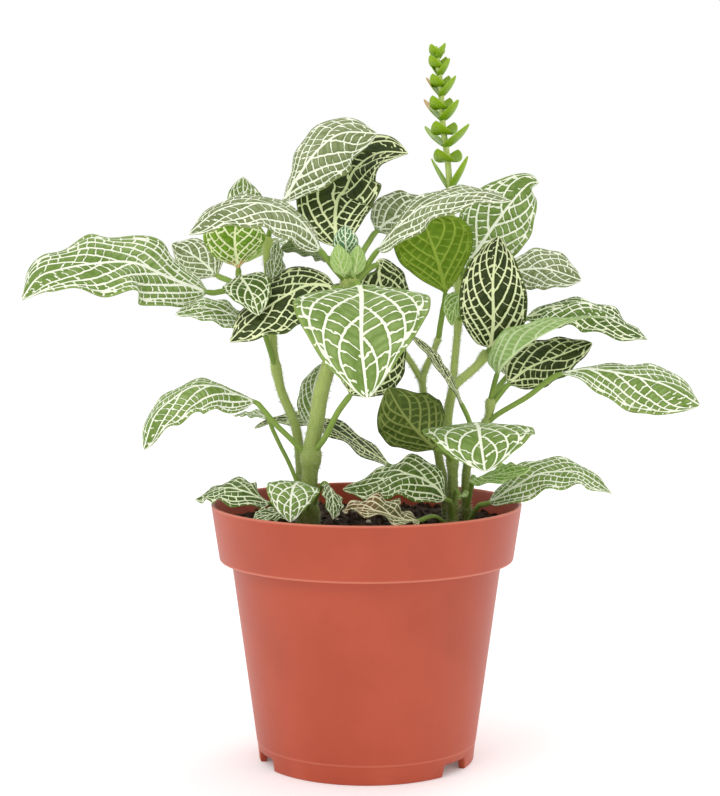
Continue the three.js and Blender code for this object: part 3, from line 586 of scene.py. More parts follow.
DEAD_BROWN = rgb(122, 84, 44)
MIDRIB_HALF = 0.85
SIDE_VEIN_HALF = 0.52
RUNG_HALF = 0.34
RUNG_SPACING = 5.0
MARGIN_VEIN = 0.85
LAST_SIDE_VEIN = 0.66
VEIN_LEAD = (0.40, 0.30)
STALK_GREEN = rgb(142, 170, 76)


def vein_lead(share):
    """How far towards the tip a side vein has run at a share of the half width, in blade lengths."""
    return VEIN_LEAD[0] * share + VEIN_LEAD[1] * share**3


def vein_fields(finish):
    """What a leaf's maps say of a place: its distances in millimetres to the veins, its shares of
    the blade, and random numbers for the rung and the patch that it lies in.

    Side veins lie where the strip number is whole. Rungs cross each strip at their own offsets.
    A margin vein joins the side veins near the edge in shallow scallops."""
    strip, along = finish.map_xy("vein_net")
    strip_width, lateral = finish.map_xy("vein_size")
    onward, across = finish.map_xy("leaf_share")
    share = (across * 2 - 1).size()
    wander = finish.noise(finish.vector(strip, along), 1.3, 2.0)
    strip = strip + (wander - 0.5) * 0.22
    side = ((strip + 0.5).fraction() - 0.5).size() * strip_width
    number = strip.floor()
    offset = finish.random(number + (across.rise(0.499, 0.501) * 57))
    swing = finish.noise(finish.vector(strip, along, 3.0), 2.2, 1.0)
    rungs = along + offset + (swing - 0.5) * 0.55
    rung = ((rungs + 0.5).fraction() - 0.5).size() * RUNG_SPACING
    kept = finish.random((rungs + 0.5).floor() + number * 13 + offset * 7)
    half_width = lateral.size() / share.most(0.05)
    bow = (strip.fraction() * math.pi).sine() * 0.07
    scallop = (bow + (MARGIN_VEIN - 0.03) - share).size() * half_width
    start = onward - vein_lead(share)
    return {
        "mid": lateral.size(), "side": side, "rung": rung, "kept": kept, "scallop": scallop,
        "share": share, "onward": onward, "width": strip_width, "start": start,
        "tint": finish.random((rungs + 0.5).floor() * 5 + number * 3 + offset * 11),
    }


def vein_masks(fields, swell=1.0):
    """How much each place is main vein and small vein, and how near it is to one.

    swell widens the veins."""
    taper = 1 - fields["onward"] * 0.62
    outer = 1 - fields["share"].rise(0.55, 1.0) * 0.55
    mid = fields["mid"].line(taper * (MIDRIB_HALF * swell))
    side_half = (taper * outer * (SIDE_VEIN_HALF * swell) + 0.06).least(fields["width"] * 0.13)
    inner = 1 - fields["share"].rise(MARGIN_VEIN + 0.01, MARGIN_VEIN + 0.06)
    early = 1 - fields["start"].rise(LAST_SIDE_VEIN, LAST_SIDE_VEIN + 0.04)
    side = fields["side"].line(side_half) * inner * early
    in_blade = 1 - fields["share"].rise(0.95, 1.0)
    rung_half = fields["kept"] * (RUNG_HALF * 0.5 * swell) + RUNG_HALF * 0.7 * swell
    dropped = 0.34 - fields["share"] * 0.45
    rung = fields["rung"].line(rung_half) * (fields["kept"] - dropped).rise(0.0, 0.08)
    margin = fields["scallop"].line(0.3 * swell)
    main = mid.most(side)
    small = rung.most(margin * 0.9) * in_blade
    near = 1 - fields["side"].least(fields["mid"]).least(fields["rung"]).rise(0.3, 1.6)
    return main, small, near


def upper_finish(look):
    """The upper side: a net of pale veins with soft rims over mottled green, with painted sheen in the
    middles of the cells and painted shade beside the veins, and quilted relief.
    """
    shade, lit, rim, vein = (rgb(*colour) for colour in LOOKS[look][1])
    finish = Finish(f"{look}_leaf_upper", 0.5, Specular_IOR_Level=0.35)
    fields = vein_fields(finish)
    main, small, near = vein_masks(fields)
    place = finish.place()
    mottle = finish.noise(place, 190, 4.0)
    patches = finish.noise(place, 45, 2.0)
    fine = finish.cells(place, 1500)
    blotch = mottle.rise(0.3, 0.7) * 0.35 + patches.rise(0.35, 0.65) * 0.35 + fields["tint"] * 0.3
    # Painted sheen and shade: the green runs from the lit to the shaded colour towards the veins, as light
    # falls on the quilting; the blotches are random mottle.
    light = blotch * (1.15 - near * 0.65)
    green = finish.mix(light, shade, lit)
    if look == "sunlit":
        green = finish.mix(1 - fields["onward"].rise(0.04, 0.2), green, SUNLIT_ORANGE)
    if look == "dried":
        dead = 1 - (1 - fields["onward"]).rise(0.25, 0.6)
        green = finish.mix(dead * mottle.rise(0.35, 0.5), green, DEAD_BROWN)
    edge = fields["share"].rise(0.93, 0.99)
    green = finish.mix(edge * 0.5, green, rim)
    halo = main.most(small * 0.8).rise(0.0, 0.55)
    green = finish.mix(halo * 0.75, green, rim)
    white = main.rise(0.25, 0.8).most(small.rise(0.25, 0.8) * 0.92)
    skin = finish.mix(white, green, vein)
    finish.colour(finish.mix(fields["onward"].rise(0.0, 0.03), STALK_GREEN, skin))
    height = (1 - main.most(small * 0.8)) * (1 - near * 0.5) + fine * 0.12 + mottle * 0.1
    finish.bump(height, 0.0005, 0.8)
    finish.rough(0.62 - light * 0.16 + white * 0.06)
    return finish.material


def under_finish(look):
    """The under side: paler, with veins that stand proud and are only a little lighter."""
    green, warm, vein = (rgb(*colour) for colour in LOOKS[look][2])
    finish = Finish(f"{look}_leaf_under", 0.6, Specular_IOR_Level=0.25)
    fields = vein_fields(finish)
    main, small, near = vein_masks(fields, 1.15)
    mottle = finish.noise(finish.place(), 220, 3.0)
    base = finish.mix(near * 0.5 + mottle.rise(0.35, 0.7) * 0.4, green, warm)
    skin = finish.mix(main.rise(0.1, 0.9).most(small * 0.6), base, vein)
    finish.colour(finish.mix(fields["onward"].rise(0.0, 0.03), STALK_GREEN, skin))
    finish.bump(main + small * 0.5 + mottle * 0.15, 0.0006, 0.7)
    return finish.material


LEAF_FINISHES = {look: (upper_finish(look), under_finish(look)) for look in LOOKS}

# ---------------------------------------------------------------- leaves
OUTLINE_POWER = 0.8
OUTLINE_POWERS = {
    "front_heart_leaf": 0.6, "pot_front_leaf": 0.6, "front_right_leaf": 0.7, "small_dark_leaf": 0.7,
    "right_grey_leaf": 1.0, "top_left_leaf": 1.15, "backlit_upright_leaf": 1.25,
    "bright_underside_leaf": 1.25, "right_large_leaf": 1.3,
}
BLADE_ROWS = 96
STALK_ROWS = 22
COLUMNS = 45
QUILT = 0.42
QUILT_REACH = 1.1
WAVES = 3.6
ROW_CROWDING = 0.35  # share of the rows' spacing that follows a cosine, closer at both ends
LEAST_HALF_WIDTH = 0.12
DROP_START = 1.5  # from where the stalk begins to flatten to the blade's start
DROP_END = 2.5  # from the blade's start to where it is flat
RIB_HEIGHT = 0.55
RIB_HALF_WIDTH = 0.8
DOMED = 0.10  # rise of the blade between midrib and margin, as a share of its half width


def leaf_outline(onward, power):
    """Half width of a blade: sin(pi u^power)^0.75, 1 where it is widest."""
    return np.clip(np.sin(np.pi * np.clip(onward, 0, 1) ** power), 0, 1) ** 0.75


def stem_line(name):
    """The centre line of a stem, in the part's frame."""
    return line_through(above_soil(STEMS[name][2]))


def make_leaf(name, number):
    """One leaf, of two skins joined at the margins. A place is (s, v): s runs from the stem to the
    tip, v from margin to margin.

    The middle is the centre line; across it the stalk is a circle and the blade a flat V with
    half width W * outline(u). Its halves rise by the fold and wave at the margin; between side
    veins it swells by the quilt."""
    stem, at, ends, half, fold, faces, tip_faces, look, pairs, wave, route = LEAVES[name]
    stem_route = stem_line(stem)
    joint = at_share(stem_route, [at])[0]
    line = line_through(np.vstack([joint, above_soil(route)]))
    run = lengths_along(line)
    blade_start = run[LINE_STEPS * ends] / run[-1]
    blade_length = run[-1] * (1 - blade_start)

    stalk = np.linspace(0, blade_start, STALK_ROWS, endpoint=False)
    rows = (1 - np.cos(np.linspace(0, np.pi, BLADE_ROWS))) / 2 * ROW_CROWDING
    rows = rows + np.linspace(0, 1, BLADE_ROWS) * (1 - ROW_CROWDING)
    share = np.r_[stalk, blade_start + (1 - blade_start) * rows]
    onward = np.clip((share - blade_start) / (1 - blade_start), 0, 1)[:, None]
    on_blade = smooth(share, blade_start - DROP_START / run[-1], blade_start + DROP_END / run[-1])
    on_blade = on_blade[:, None]
    middle = at_share(line, share)
    along = directions_at(line, share, 0.012)
    up = unit(np.asarray(faces, float) * (1 - onward) + np.asarray(tip_faces, float) * onward)
    side = unit(np.cross(along, up))
    up = np.cross(side, along)

    v = np.linspace(-1, 1, COLUMNS)[None, :]
    power = OUTLINE_POWERS.get(name, OUTLINE_POWER)
    widths = np.maximum(half * leaf_outline(onward, power), LEAST_HALF_WIDTH)
    taper = 1 - 0.85 * smooth(onward, 0.0, 0.8)
    stalk_radius = STALK_RADIUS * min(1.0, 0.45 + half / 16)
    reach = (1 - on_blade) * stalk_radius * np.sin(v * np.pi / 2) + on_blade * widths * v
    phase = number * 2.4 + np.where(v < 0, 1.9, 0.0)
    ripple = np.sin(2 * np.pi * WAVES * onward + phase) * np.sin(np.pi * np.clip(onward, 0, 1)) ** 0.5
    raised = on_blade * (
        np.abs(widths * v) * math.sin(math.radians(fold))
        + wave * ripple * np.abs(v) ** 2.2
        + DOMED * widths * (1 - (1 - np.abs(v)) ** 2) * np.sin(np.pi * onward)
    )
    strip = (onward - vein_lead(np.abs(v))) * pairs + np.where(v < 0, 0.4, 0.0)
    slope = VEIN_LEAD[0] + 3 * VEIN_LEAD[1] * v**2
    strip_width = blade_length / pairs / np.sqrt(1 + (blade_length * slope / np.maximum(widths, 1)) ** 2)
    to_side = np.abs((strip + 0.5) % 1 - 0.5) * strip_width
    to_vein = np.minimum(to_side, np.abs(widths * v))
    edge = 1 - smooth(np.abs(v), 0.86, 1.0)
    quilt = on_blade * QUILT * (1 - np.exp(-((to_vein / QUILT_REACH) ** 2))) * edge * min(1.0, half / 10)
    spread = reach * math.cos(math.radians(fold))

    round_over = np.cos(v * np.pi / 2)
    rib = np.exp(-((widths * v / RIB_HALF_WIDTH) ** 2)) * RIB_HEIGHT * taper
    blunt = np.sqrt(np.clip(1 - v**6, 0, 1))
    stalk_lift = (1 - on_blade) * stalk_radius * round_over
    thick_top = stalk_lift * 0.85 + on_blade * (BLADE_THICKNESS / 2 * blunt)
    thick_low = stalk_lift + on_blade * ((BLADE_THICKNESS / 2 + rib) * blunt)

    def skin(lift):
        return middle[:, None] + side[:, None] * spread[..., None] + up[:, None] * lift[..., None]

    top = skin(raised + thick_top + quilt)
    low = skin(raised - thick_low + quilt)
    low[:, [0, -1]] = top[:, [0, -1]] = (low[:, [0, -1]] + top[:, [0, -1]]) / 2
    rows_total = len(share)
    count = rows_total * COLUMNS
    quads_top = grid_faces(rows_total, COLUMNS)
    quads_low = grid_faces(rows_total, COLUMNS, offset=count)[:, ::-1]
    caps = []
    for row in (0, rows_total - 1):
        a = row * COLUMNS + np.arange(COLUMNS - 1)
        ring = np.stack([a, a + count, a + count + 1, a + 1], -1)
        caps.append(ring if row == 0 else ring[:, ::-1])
    quads = np.vstack([quads_top, quads_low, *caps])
    slots = np.r_[np.zeros(len(quads_top)), np.ones(len(quads_low)), np.ones(len(caps[0]) * 2)]

    fineness = float(np.clip((24 / half) ** 0.5, 0.95, 2.2))
    lateral = (widths * v * on_blade + (1 - on_blade) * 6.0) * fineness
    rung_run = np.abs(widths * v) * (1 - 0.35 * np.abs(v)) + 1.15 * onward * blade_length
    rung_run = rung_run * fineness / RUNG_SPACING
    across = (v + 1) / 2
    bake_u = np.clip(share[:, None] * 0.98 + 0.01, 0, 1)

    def both(*values):
        return np.stack([stacked(*values)] * 2)

    maps = {
        "OFBake": np.stack([stacked(bake_u, low_edge + 0.48 * across) for low_edge in (0.01, 0.51)]),
        "vein_net": both(strip + number * 31, rung_run + number * 17),
        "vein_size": both(strip_width * fineness, lateral), "leaf_share": both(onward, across),
    }
    piece = make_mesh(f"{name}_blade", np.stack([top, low]), quads, LEAF_FINISHES[look], slots, maps)
    merge_doubles(piece)
    carried(piece, LOOKS[look][0], name)


# ---------------------------------------------------------------- stems


def tube(line, radius, shares, sides):
    """A round limb: circles of a radius square to the line, at shares of its length. Gives their
    points, the directions out of the line and the directions along it."""
    middle = at_share(line, shares)
    along = directions_at(line, shares)
    side = unit(np.array([1.0, 0, 0]) - along * along[:, :1])
    front = np.cross(side, along)
    turn = full_turn(sides)
    ring = side[:, None] * np.cos(turn)[None, :, None] + front[:, None] * np.sin(turn)[None, :, None]
    return middle[:, None] + ring * radius[..., None], ring, along


def stem_finish():
    """Pale green skin with fine lengthwise streaks, darker and browner near the soil."""
    finish = Finish("stem_skin", 0.6, Specular_IOR_Level=0.3)
    place = finish.place()
    x, y, height = finish.split(place)
    streaks = finish.noise(finish.vector(x * 2600, y * 2600, height * 160), 1.0, 2.0)
    blotches = finish.noise(place, 210, 3.0)
    up = height.rise((SOIL_TOP + 5) * MM, (SOIL_TOP + 85) * MM)
    low_green = finish.mix(streaks, rgb(110, 130, 52), rgb(160, 174, 96))
    high_green = finish.mix(streaks, rgb(168, 190, 90), rgb(208, 220, 140))
    green = finish.mix(up, low_green, high_green)
    earthy = 1 - height.rise((SOIL_TOP - 2) * MM, (SOIL_TOP + 14) * MM)
    green = finish.mix(earthy * 0.55, green, rgb(92, 78, 46))
    finish.colour(finish.mix(blotches.rise(0.55, 0.75) * 0.35, green, rgb(112, 140, 58)))
    finish.bump(streaks + blotches * 0.5, 0.0003, 0.6)
    return finish.material


def hair_finish():
    """Short silvery hairs."""
    finish = Finish("stem_hair", 0.7)
    tint = finish.noise(finish.place(), 400, 1.0)
    finish.colour(finish.mix(tint, rgb(206, 214, 180), rgb(240, 244, 226)))
    return finish.material


STEM_SKIN = stem_finish()
STEM_HAIR = hair_finish()
STEM_SIDES = 28
RING_SPACING = 0.9
NODE_SWELL = 0.28
NODE_REACH = 0.028  # share of the stem's length
HAIRS_PER_MM = 24
HAIRY_SHARE = {"flower_stalk": 0.55}
HAIR_LENGTH = 1.5
HAIR_WIDTH = 0.06
HAIR_CORNERS = (0, 2.09, 4.19)


def swelling(stem, shares):
    """How much a stem thickens where leaf stalks stand: a bell round each of them."""
    places = [row[1] for row in LEAVES.values() if row[0] == stem]
    bells = [np.exp(-(((shares - place) / NODE_REACH) ** 2)) for place in sorted(set(places))]
    return NODE_SWELL * np.clip(sum(bells, np.zeros_like(shares)), 0, 1.2)


def make_stem(name, node):
    """A stem: a round limb whose radius tapers, swells at its nodes and has shallow ribs."""
    foot, top_share = STEMS[name][:2]
    line = stem_line(name)
    length = lengths_along(line)[-1]
    shares = np.linspace(0, 1, int(length / RING_SPACING) + 8)
    radius = foot * (1 - (1 - top_share) * shares) * (1 + swelling(name, shares))
    cap = np.sqrt(np.clip(1 - smooth(shares, 1 - 1.2 / length, 1.0) * 0.8, 0, 1))
    turn = full_turn(STEM_SIDES)
    ribs = 1 + 0.035 * np.sin(4 * turn)[None] + 0.02 * np.sin(11 * turn + 1)[None]
    points, ring, along = tube(line, (radius * cap)[:, None] * ribs, shares, STEM_SIDES)
    skin = closed_limb(f"{name}_skin", points, [STEM_SKIN], flipped=True)
    carried(skin, "stem", *([node] if node else []))

    hairy = HAIRY_SHARE.get(name, 1.0)
    count = int(length * hairy * HAIRS_PER_MM)
    roots = rng.integers(0, int((points.shape[0] - 1) * hairy), count)
    sides = rng.integers(0, STEM_SIDES, count)
    below, above = points[roots, sides], points[roots + 1, sides]
    root = below + (above - below) * rng.random((count, 1))
    lean = unit(ring[roots, sides] + along[roots] * rng.uniform(-0.35, 0.35, (count, 1)))
    carried(hairs(f"{name}_hairs", root, lean, along[roots]), "stem")


def hairs(name, roots, leans, along):
    """Fine pointed hairs: each is a three-sided spike from its root along its lean."""
    count = len(roots)
    lengths = HAIR_LENGTH * rng.uniform(0.5, 1.15, (count, 1))
    across = unit(np.cross(leans, along))
    third = np.cross(leans, across)
    corners = [roots + HAIR_WIDTH * (across * math.cos(a) + third * math.sin(a)) for a in HAIR_CORNERS]
    tips = roots + leans * lengths
    points = np.stack([*corners, tips], 1)
    base = np.arange(count)[:, None] * 4
    faces = np.vstack([base + (0, 1, 3), base + (1, 2, 3), base + (2, 0, 3), base + (0, 2, 1)])
    return make_mesh(name, points, faces, [STEM_HAIR])


# ---------------------------------------------------------------- flower spike
BRACT_LEVELS = 12
SPIKE_LOW = 226.0
SPIKE_RISE = 46.6
SPIKE_CROWDING = 1.35
FRONT_TURN = math.radians(234)
SIDE_TURN = math.radians(326)
SIDE_BRACTS = (14.5, 6.5)
FRONT_BRACTS = (9.4, 6.2)
LOWEST_BRACTS = (220.0, 16.0)  # height and length
LOWEST_WIDTH = 0.17
LOWEST_LEAN = 0.5
LEAN = 0.8
SIDE_LEAN_LOSS = 0.36
FRONT_LEAN_LOSS = 0.14
TURN_SPREAD = 0.14
SIDE_BRACT_WIDTH = (0.32, 0.3)
FRONT_BRACT_WIDTH = (0.58, 0.42)
FRONT_CURL = 0.45
SIDE_CURL = 0.15
BRACT_THICKNESS = 0.55
BRACT_ROWS = 22
BRACT_COLUMNS = 15
DRY_BRACTS = (9, 13)


def bract_finish(name, dryness):
    """Fresh green scale: paler edge, a faint keel, fine lengthwise lines and a tip that may be dry."""
    finish = Finish(name, 0.5, Specular_IOR_Level=0.35)
    onward, across = finish.map_xy("scale_share")
    share = (across * 2 - 1).size()
    lines = finish.noise(finish.vector(across * 12, onward * 2), 1.0, 1.0)
    body = finish.mix(onward.rise(0.0, 0.9), rgb(112, 150, 2), rgb(146, 180, 12))
    body = finish.mix(lines.rise(0.4, 0.7) * 0.3, body, rgb(100, 140, 2))
    body = finish.mix(share.rise(0.72, 1.0) * 0.6, body, rgb(156, 190, 66))
    keel = share.line(0.05) * (1 - onward * 0.7)
    body = finish.mix(keel * 0.35, body, rgb(150, 184, 70))
    finish.colour(finish.mix(onward.rise(0.45, 0.8) * dryness, body, rgb(196, 152, 96)))
    return finish.material


def make_bract(number, foot, turn, length, width, lean, curl, skin):
    """One bract, a cupped scale (u, v), in shares of its length. Its middle stands off the stalk by
    0.06 + lean * ((1 + curl) u - curl u^2) and rises by what the lean leaves of each step. Its half
    width is width * sin(pi u^0.72)^0.6, and it wraps towards the stalk with the square of v."""
    u = np.linspace(0, 1, BRACT_ROWS)[:, None]
    v = np.linspace(-1, 1, BRACT_COLUMNS)[None, :]
    half = np.maximum(width * np.sin(np.pi * u**0.72) ** 0.6, 0.015)
    out = 0.06 + lean * ((1 + curl) * u - curl * u**2)
    slope = lean * (1 + curl - 2 * curl * u)
    lift = np.cumsum(np.sqrt(np.clip(1 - slope**2, 0.04, 1)), axis=0) / BRACT_ROWS
    x = out - 0.6 * half * v**2 * (1 - 0.45 * u)
    y = half * v
    shell = stacked(x, y, lift - 0.12 * half * v**2) * length
    inner = shell - BRACT_THICKNESS * np.array([0.93, 0, -0.37]) * np.sqrt(1 - v[..., None] ** 4)
    cos, sin = math.cos(turn), math.sin(turn)
    spin = np.array([[cos, sin, 0], [-sin, cos, 0], [0, 0, 1]])
    points = np.stack([shell, inner]).reshape(-1, 3) @ spin + foot
    count = BRACT_ROWS * BRACT_COLUMNS
    quads = np.vstack([grid_faces(BRACT_ROWS, BRACT_COLUMNS)[:, ::-1],
                       grid_faces(BRACT_ROWS, BRACT_COLUMNS, offset=count)])
    ends = []
    for row in (0, BRACT_ROWS - 1):
        a = row * BRACT_COLUMNS + np.arange(BRACT_COLUMNS - 1)
        ring = np.stack([a, a + 1, a + 1 + count, a + count], -1)
        ends.append(ring if row == 0 else ring[:, ::-1])
    share = np.stack([stacked(u, (v + 1) / 2)] * 2)
    piece = make_mesh(f"bract_{number:02d}", points, np.vstack([quads, *ends]), [skin],
                      maps={"scale_share": share})
    merge_doubles(piece, 1e-6)
    carried(piece, "stem")


def make_spike():
    """Crossed pairs of bracts up the flower stalk, closer and smaller towards the top."""
    fresh = bract_finish("bract_skin", 0.0)
    dry = bract_finish("dry_bract_skin", 0.9)
    line = stem_line("flower_stalk")
    number = 0
    for level in range(BRACT_LEVELS):
        rise = level / (BRACT_LEVELS - 1)
        height = SPIKE_LOW + SPIKE_RISE * (1 - (1 - rise) ** SPIKE_CROWDING)
        sideways = level % 2 == 0
        long, short = SIDE_BRACTS if sideways else FRONT_BRACTS
        length = long + (short - long) * rise
        wide, narrow = SIDE_BRACT_WIDTH if sideways else FRONT_BRACT_WIDTH
        width = wide + (narrow - wide) * rise
        curl = SIDE_CURL if sideways else FRONT_CURL
        lean = LEAN - (SIDE_LEAN_LOSS if sideways else FRONT_LEAN_LOSS) * rise
        if level == 0:
            height, length = LOWEST_BRACTS
            width, lean = LOWEST_WIDTH, LOWEST_LEAN
        middle = np.array([np.interp(height, line[:, 2], line[:, k]) for k in range(3)])
        for half_turn in (0, math.pi):
            turn = (SIDE_TURN if sideways else FRONT_TURN) + half_turn
            turn += rng.uniform(-TURN_SPREAD, TURN_SPREAD)
            skin = dry if number in DRY_BRACTS else fresh
            make_bract(number, middle, turn, length * rng.uniform(0.92, 1.05), width, lean, curl, skin)
            number += 1


# ---------------------------------------------------------------- pot


def pot_finish():
    """Terracotta-coloured plastic: satin, with fine speckle, faint mould lines, dust near the foot
    and painted highlight lines on the collar's lower edge, above the foot and on the lip."""
    finish = Finish("terracotta_plastic", 0.42, Specular_IOR_Level=0.5)
    place = finish.place()
    height = finish.split(place)[2]
    cloud = finish.noise(place, 26, 3.0)
    speck = finish.noise(place, 1400, 2.0)
    bands = finish.noise(finish.vector(0.0, 0.0, height * 700), 1.0, 1.0)
    base = finish.mix(cloud.rise(0.3, 0.7), rgb(169, 64, 33), rgb(179, 72, 41))
    base = finish.mix(speck.rise(0.6, 0.75) * 0.25, base, rgb(154, 54, 28))
    base = finish.mix((1 - height.rise(0.0, 0.012)) * cloud.rise(0.45, 0.7) * 0.35, base, rgb(190, 100, 70))
    # Painted highlights: light lines where the collar's lower edge, the crease above the foot and the
    # rounded lip catch the light.
    collar_edge_highlight = (height - (POT_HEIGHT - COLLAR_HEIGHT + 0.3) * MM).size().line(0.45 * MM)
    foot_crease_highlight = (height - FOOT_LINE_HEIGHT * MM).size().line(0.3 * MM)
    lip = height.rise((POT_HEIGHT - 1.1) * MM, (POT_HEIGHT - 0.3) * MM)
    base = finish.mix(collar_edge_highlight.most(foot_crease_highlight * 0.5).most(lip) * 0.55, base, rgb(216, 128, 102))
    finish.colour(base)
    finish.bump(speck * 0.5 + bands * 0.35, 0.00012, 0.5)
    finish.rough(0.36 + cloud * 0.1 + speck * 0.08)
    return finish.material


def rounded(profile, radius, steps=4):
    """A profile with each inner corner cut by a short parabola."""
    points = [np.asarray(profile[0], float)]
    for before, corner, after in zip(profile[:-2], profile[1:-1], profile[2:]):
        before, corner, after = (np.asarray(p, float) for p in (before, corner, after))
        back, ahead = before - corner, after - corner
        cut = min(radius, 0.45 * np.linalg.norm(back), 0.45 * np.linalg.norm(ahead))
        a = corner + back / np.linalg.norm(back) * cut
        b = corner + ahead / np.linalg.norm(ahead) * cut
        for t in np.linspace(0, 1, steps + 1):
            points.append(a * (1 - t) ** 2 + 2 * corner * t * (1 - t) + b * t**2)
    points.append(np.asarray(profile[-1], float))
    return np.array(points)


def spaced(profile, step):
    """A profile with points added so that none is further than step from the next."""
    parts = []
    for a, b in zip(profile[:-1], profile[1:]):
        count = max(1, int(np.ceil(np.linalg.norm(b - a) / step)))
        parts.append(a + (b - a) * np.linspace(0, 1, count, endpoint=False)[:, None])
    return np.vstack([*parts, profile[-1:]])


def make_pot():
    """The pot: one profile turned round the axis. The foot ring is lifted at three notches."""
    collar_z = POT_HEIGHT - COLLAR_HEIGHT
    collar_foot = RIM_RADIUS - COLLAR_TAPER
    body_top = collar_foot - COLLAR_STEP
    step_top = collar_z + POT_WALL
    floor_top = FLOOR_LIFT + POT_WALL

    def body(z):
        return FOOT_RADIUS + (body_top - FOOT_RADIUS) * z / collar_z

    on_body = body(CREASE_HEIGHT)
    collar_inside = collar_foot + COLLAR_TAPER * POT_WALL / COLLAR_HEIGHT - POT_WALL
    outer = [(0.01, FLOOR_LIFT), (FOOT_RADIUS - FOOT_RING_WALL, FLOOR_LIFT),
             (FOOT_RADIUS - FOOT_RING_WALL, 0), (FOOT_RADIUS, 0),
             (on_body - CREASE_DEPTH, CREASE_HEIGHT - CREASE_HALF),
             (on_body, CREASE_HEIGHT + CREASE_HALF)]
    outer += [(body_top, collar_z), (collar_foot, collar_z), (RIM_RADIUS, POT_HEIGHT),
              (RIM_RADIUS - POT_WALL, POT_HEIGHT), (collar_inside, step_top),
              (body(step_top) - POT_WALL, step_top), (body(floor_top) - POT_WALL, floor_top),
              (0.01, floor_top)]
    profile = spaced(rounded(outer, 0.55), 3.0)
    turn = full_turn(POT_SIDES)
    radius = profile[:, :1]
    centres = np.radians(NOTCH_TURN - 90 + 360 / NOTCH_COUNT * np.arange(NOTCH_COUNT))
    gap = np.abs((turn[None] - centres[:, None] + np.pi) % (2 * np.pi) - np.pi).min(axis=0)
    half = NOTCH_WIDTH / 2 / FOOT_RADIUS
    notch = 1 - smooth(gap, half - 0.012, half + 0.012)
    on_ring = radius > FOOT_RADIUS - NOTCH_REACH
    height = np.maximum(profile[:, 1:], NOTCH_HEIGHT * notch * on_ring)
    pot = closed_limb("pot_shell", turned(radius, height, turn), [pot_finish()])
    drill_drains(pot)
    carried(pot, "terracotta_plastic", "pot")


def drill_drains(pot):
    """Cuts the round drain holes through the floor."""
    for k in range(DRAIN_COUNT):
        a = 2 * math.pi * k / DRAIN_COUNT
        spot = np.array([DRAIN_CIRCLE * math.cos(a), DRAIN_CIRCLE * math.sin(a), FLOOR_LIFT / 2])
        line = np.vstack([spot, spot + (0, 0, FLOOR_LIFT + 3)])
        rings = tube(line, np.full((3, 1), DRAIN_RADIUS), np.linspace(0, 1, 3), DRILL_SIDES)[0]
        drill = closed_limb("drill", rings, [])
        cut = pot.modifiers.new("drain", "BOOLEAN")
        cut.operation = "DIFFERENCE"
        cut.object = drill
        cut.solver = "EXACT"
        graph = bpy.context.evaluated_depsgraph_get()
        mesh = bpy.data.meshes.new_from_object(pot.evaluated_get(graph))
        pot.modifiers.clear()
        pot.data = mesh
        bpy.data.objects.remove(drill)


# ---------------------------------------------------------------- soil


def soil_finish():
    """Dark moist peat: brown grains of several sizes with a few pale fibres."""
    finish = Finish("peat", 0.9, Specular_IOR_Level=0.2)
    place = finish.place()
    grain = finish.noise(place, 420, 5.0, 0.7)
    lumps = finish.cells(place, 320)
    fibre = finish.noise(place, 900, 1.0)
    base = finish.mix(grain.rise(0.3, 0.7), rgb(30, 20, 14), rgb(74, 52, 36))
    base = finish.mix(lumps.rise(0.2, 0.7) * 0.5, base, rgb(46, 32, 24))
    finish.colour(finish.mix(fibre.rise(0.68, 0.74) * 0.7, base, rgb(150, 118, 82)))
    finish.bump(grain + lumps, 0.0012, 0.9)
    return finish.material


def perlite_finish():
    """Off-white grains."""
    finish = Finish("perlite", 0.8)
    grain = finish.noise(finish.place(), 900, 2.0)
    finish.colour(finish.mix(grain, rgb(176, 160, 136), rgb(222, 214, 198)))
    finish.bump(grain, 0.0004, 0.6)
    return finish.material


def waves_at(x, y, seed, scale, count=14):
    """A rough height from a sum of plane waves with random directions and phases."""
    local = np.random.default_rng(seed)
    total = np.zeros_like(x)
    for k in range(count):
        angle, phase = local.uniform(0, 2 * np.pi, 2)
        pitch = scale * local.uniform(0.6, 1.7)
        total += np.sin((x * math.cos(angle) + y * math.sin(angle)) * pitch + phase)
    return total / math.sqrt(count)


SOIL_RINGS = 110
SOIL_SIDES = 260
PLUG_GAP = 0.4


def soil_height(x, y):
    """Top of the soil: a slight mound with lumps of two sizes."""
    r = np.hypot(x, y)
    mound = SOIL_TOP - 0.6 - 0.7 * (r / RIM_RADIUS) ** 2
    return mound + 0.55 * waves_at(x, y, 3, 0.5) + 0.3 * waves_at(x, y, 4, 1.9, 18)


def make_soil():
    """The soil plug: a polar grid for its rough top, and plain sides and bottom inside the pot."""
    peat = soil_finish()
    edge = RIM_RADIUS - POT_WALL - COLLAR_TAPER * SOIL_BELOW_RIM / COLLAR_HEIGHT - 0.35
    floor = FLOOR_LIFT + POT_WALL + PLUG_GAP
    step = POT_HEIGHT - COLLAR_HEIGHT + POT_WALL + PLUG_GAP
    body = RIM_RADIUS - COLLAR_TAPER - COLLAR_STEP - POT_WALL - PLUG_GAP
    foot = FOOT_RADIUS - POT_WALL - PLUG_GAP
    turn = full_turn(SOIL_SIDES)
    radius = np.linspace(0.05, edge, SOIL_RINGS)[:, None]
    x, y = radius * np.cos(turn), radius * np.sin(turn)
    top = stacked(x, y, soil_height(x, y))
    walls = np.array([(edge - 1.0, step), (body, step - 0.1), (foot + 0.5, floor), (0.05, floor)])
    sides = turned(walls[:, :1], walls[:, 1:], turn)
    soil = closed_limb("soil_plug", np.concatenate([top, sides]), [peat])
    carried(soil, "peat_soil", "soil")
    carried(crumbs("soil_crumbs", 620, 0.5, 1.7, edge - 1.5, peat, 11), "peat_soil")
    carried(crumbs("perlite_grains", 46, 0.5, 1.2, edge - 3, perlite_finish(), 12), "peat_soil")


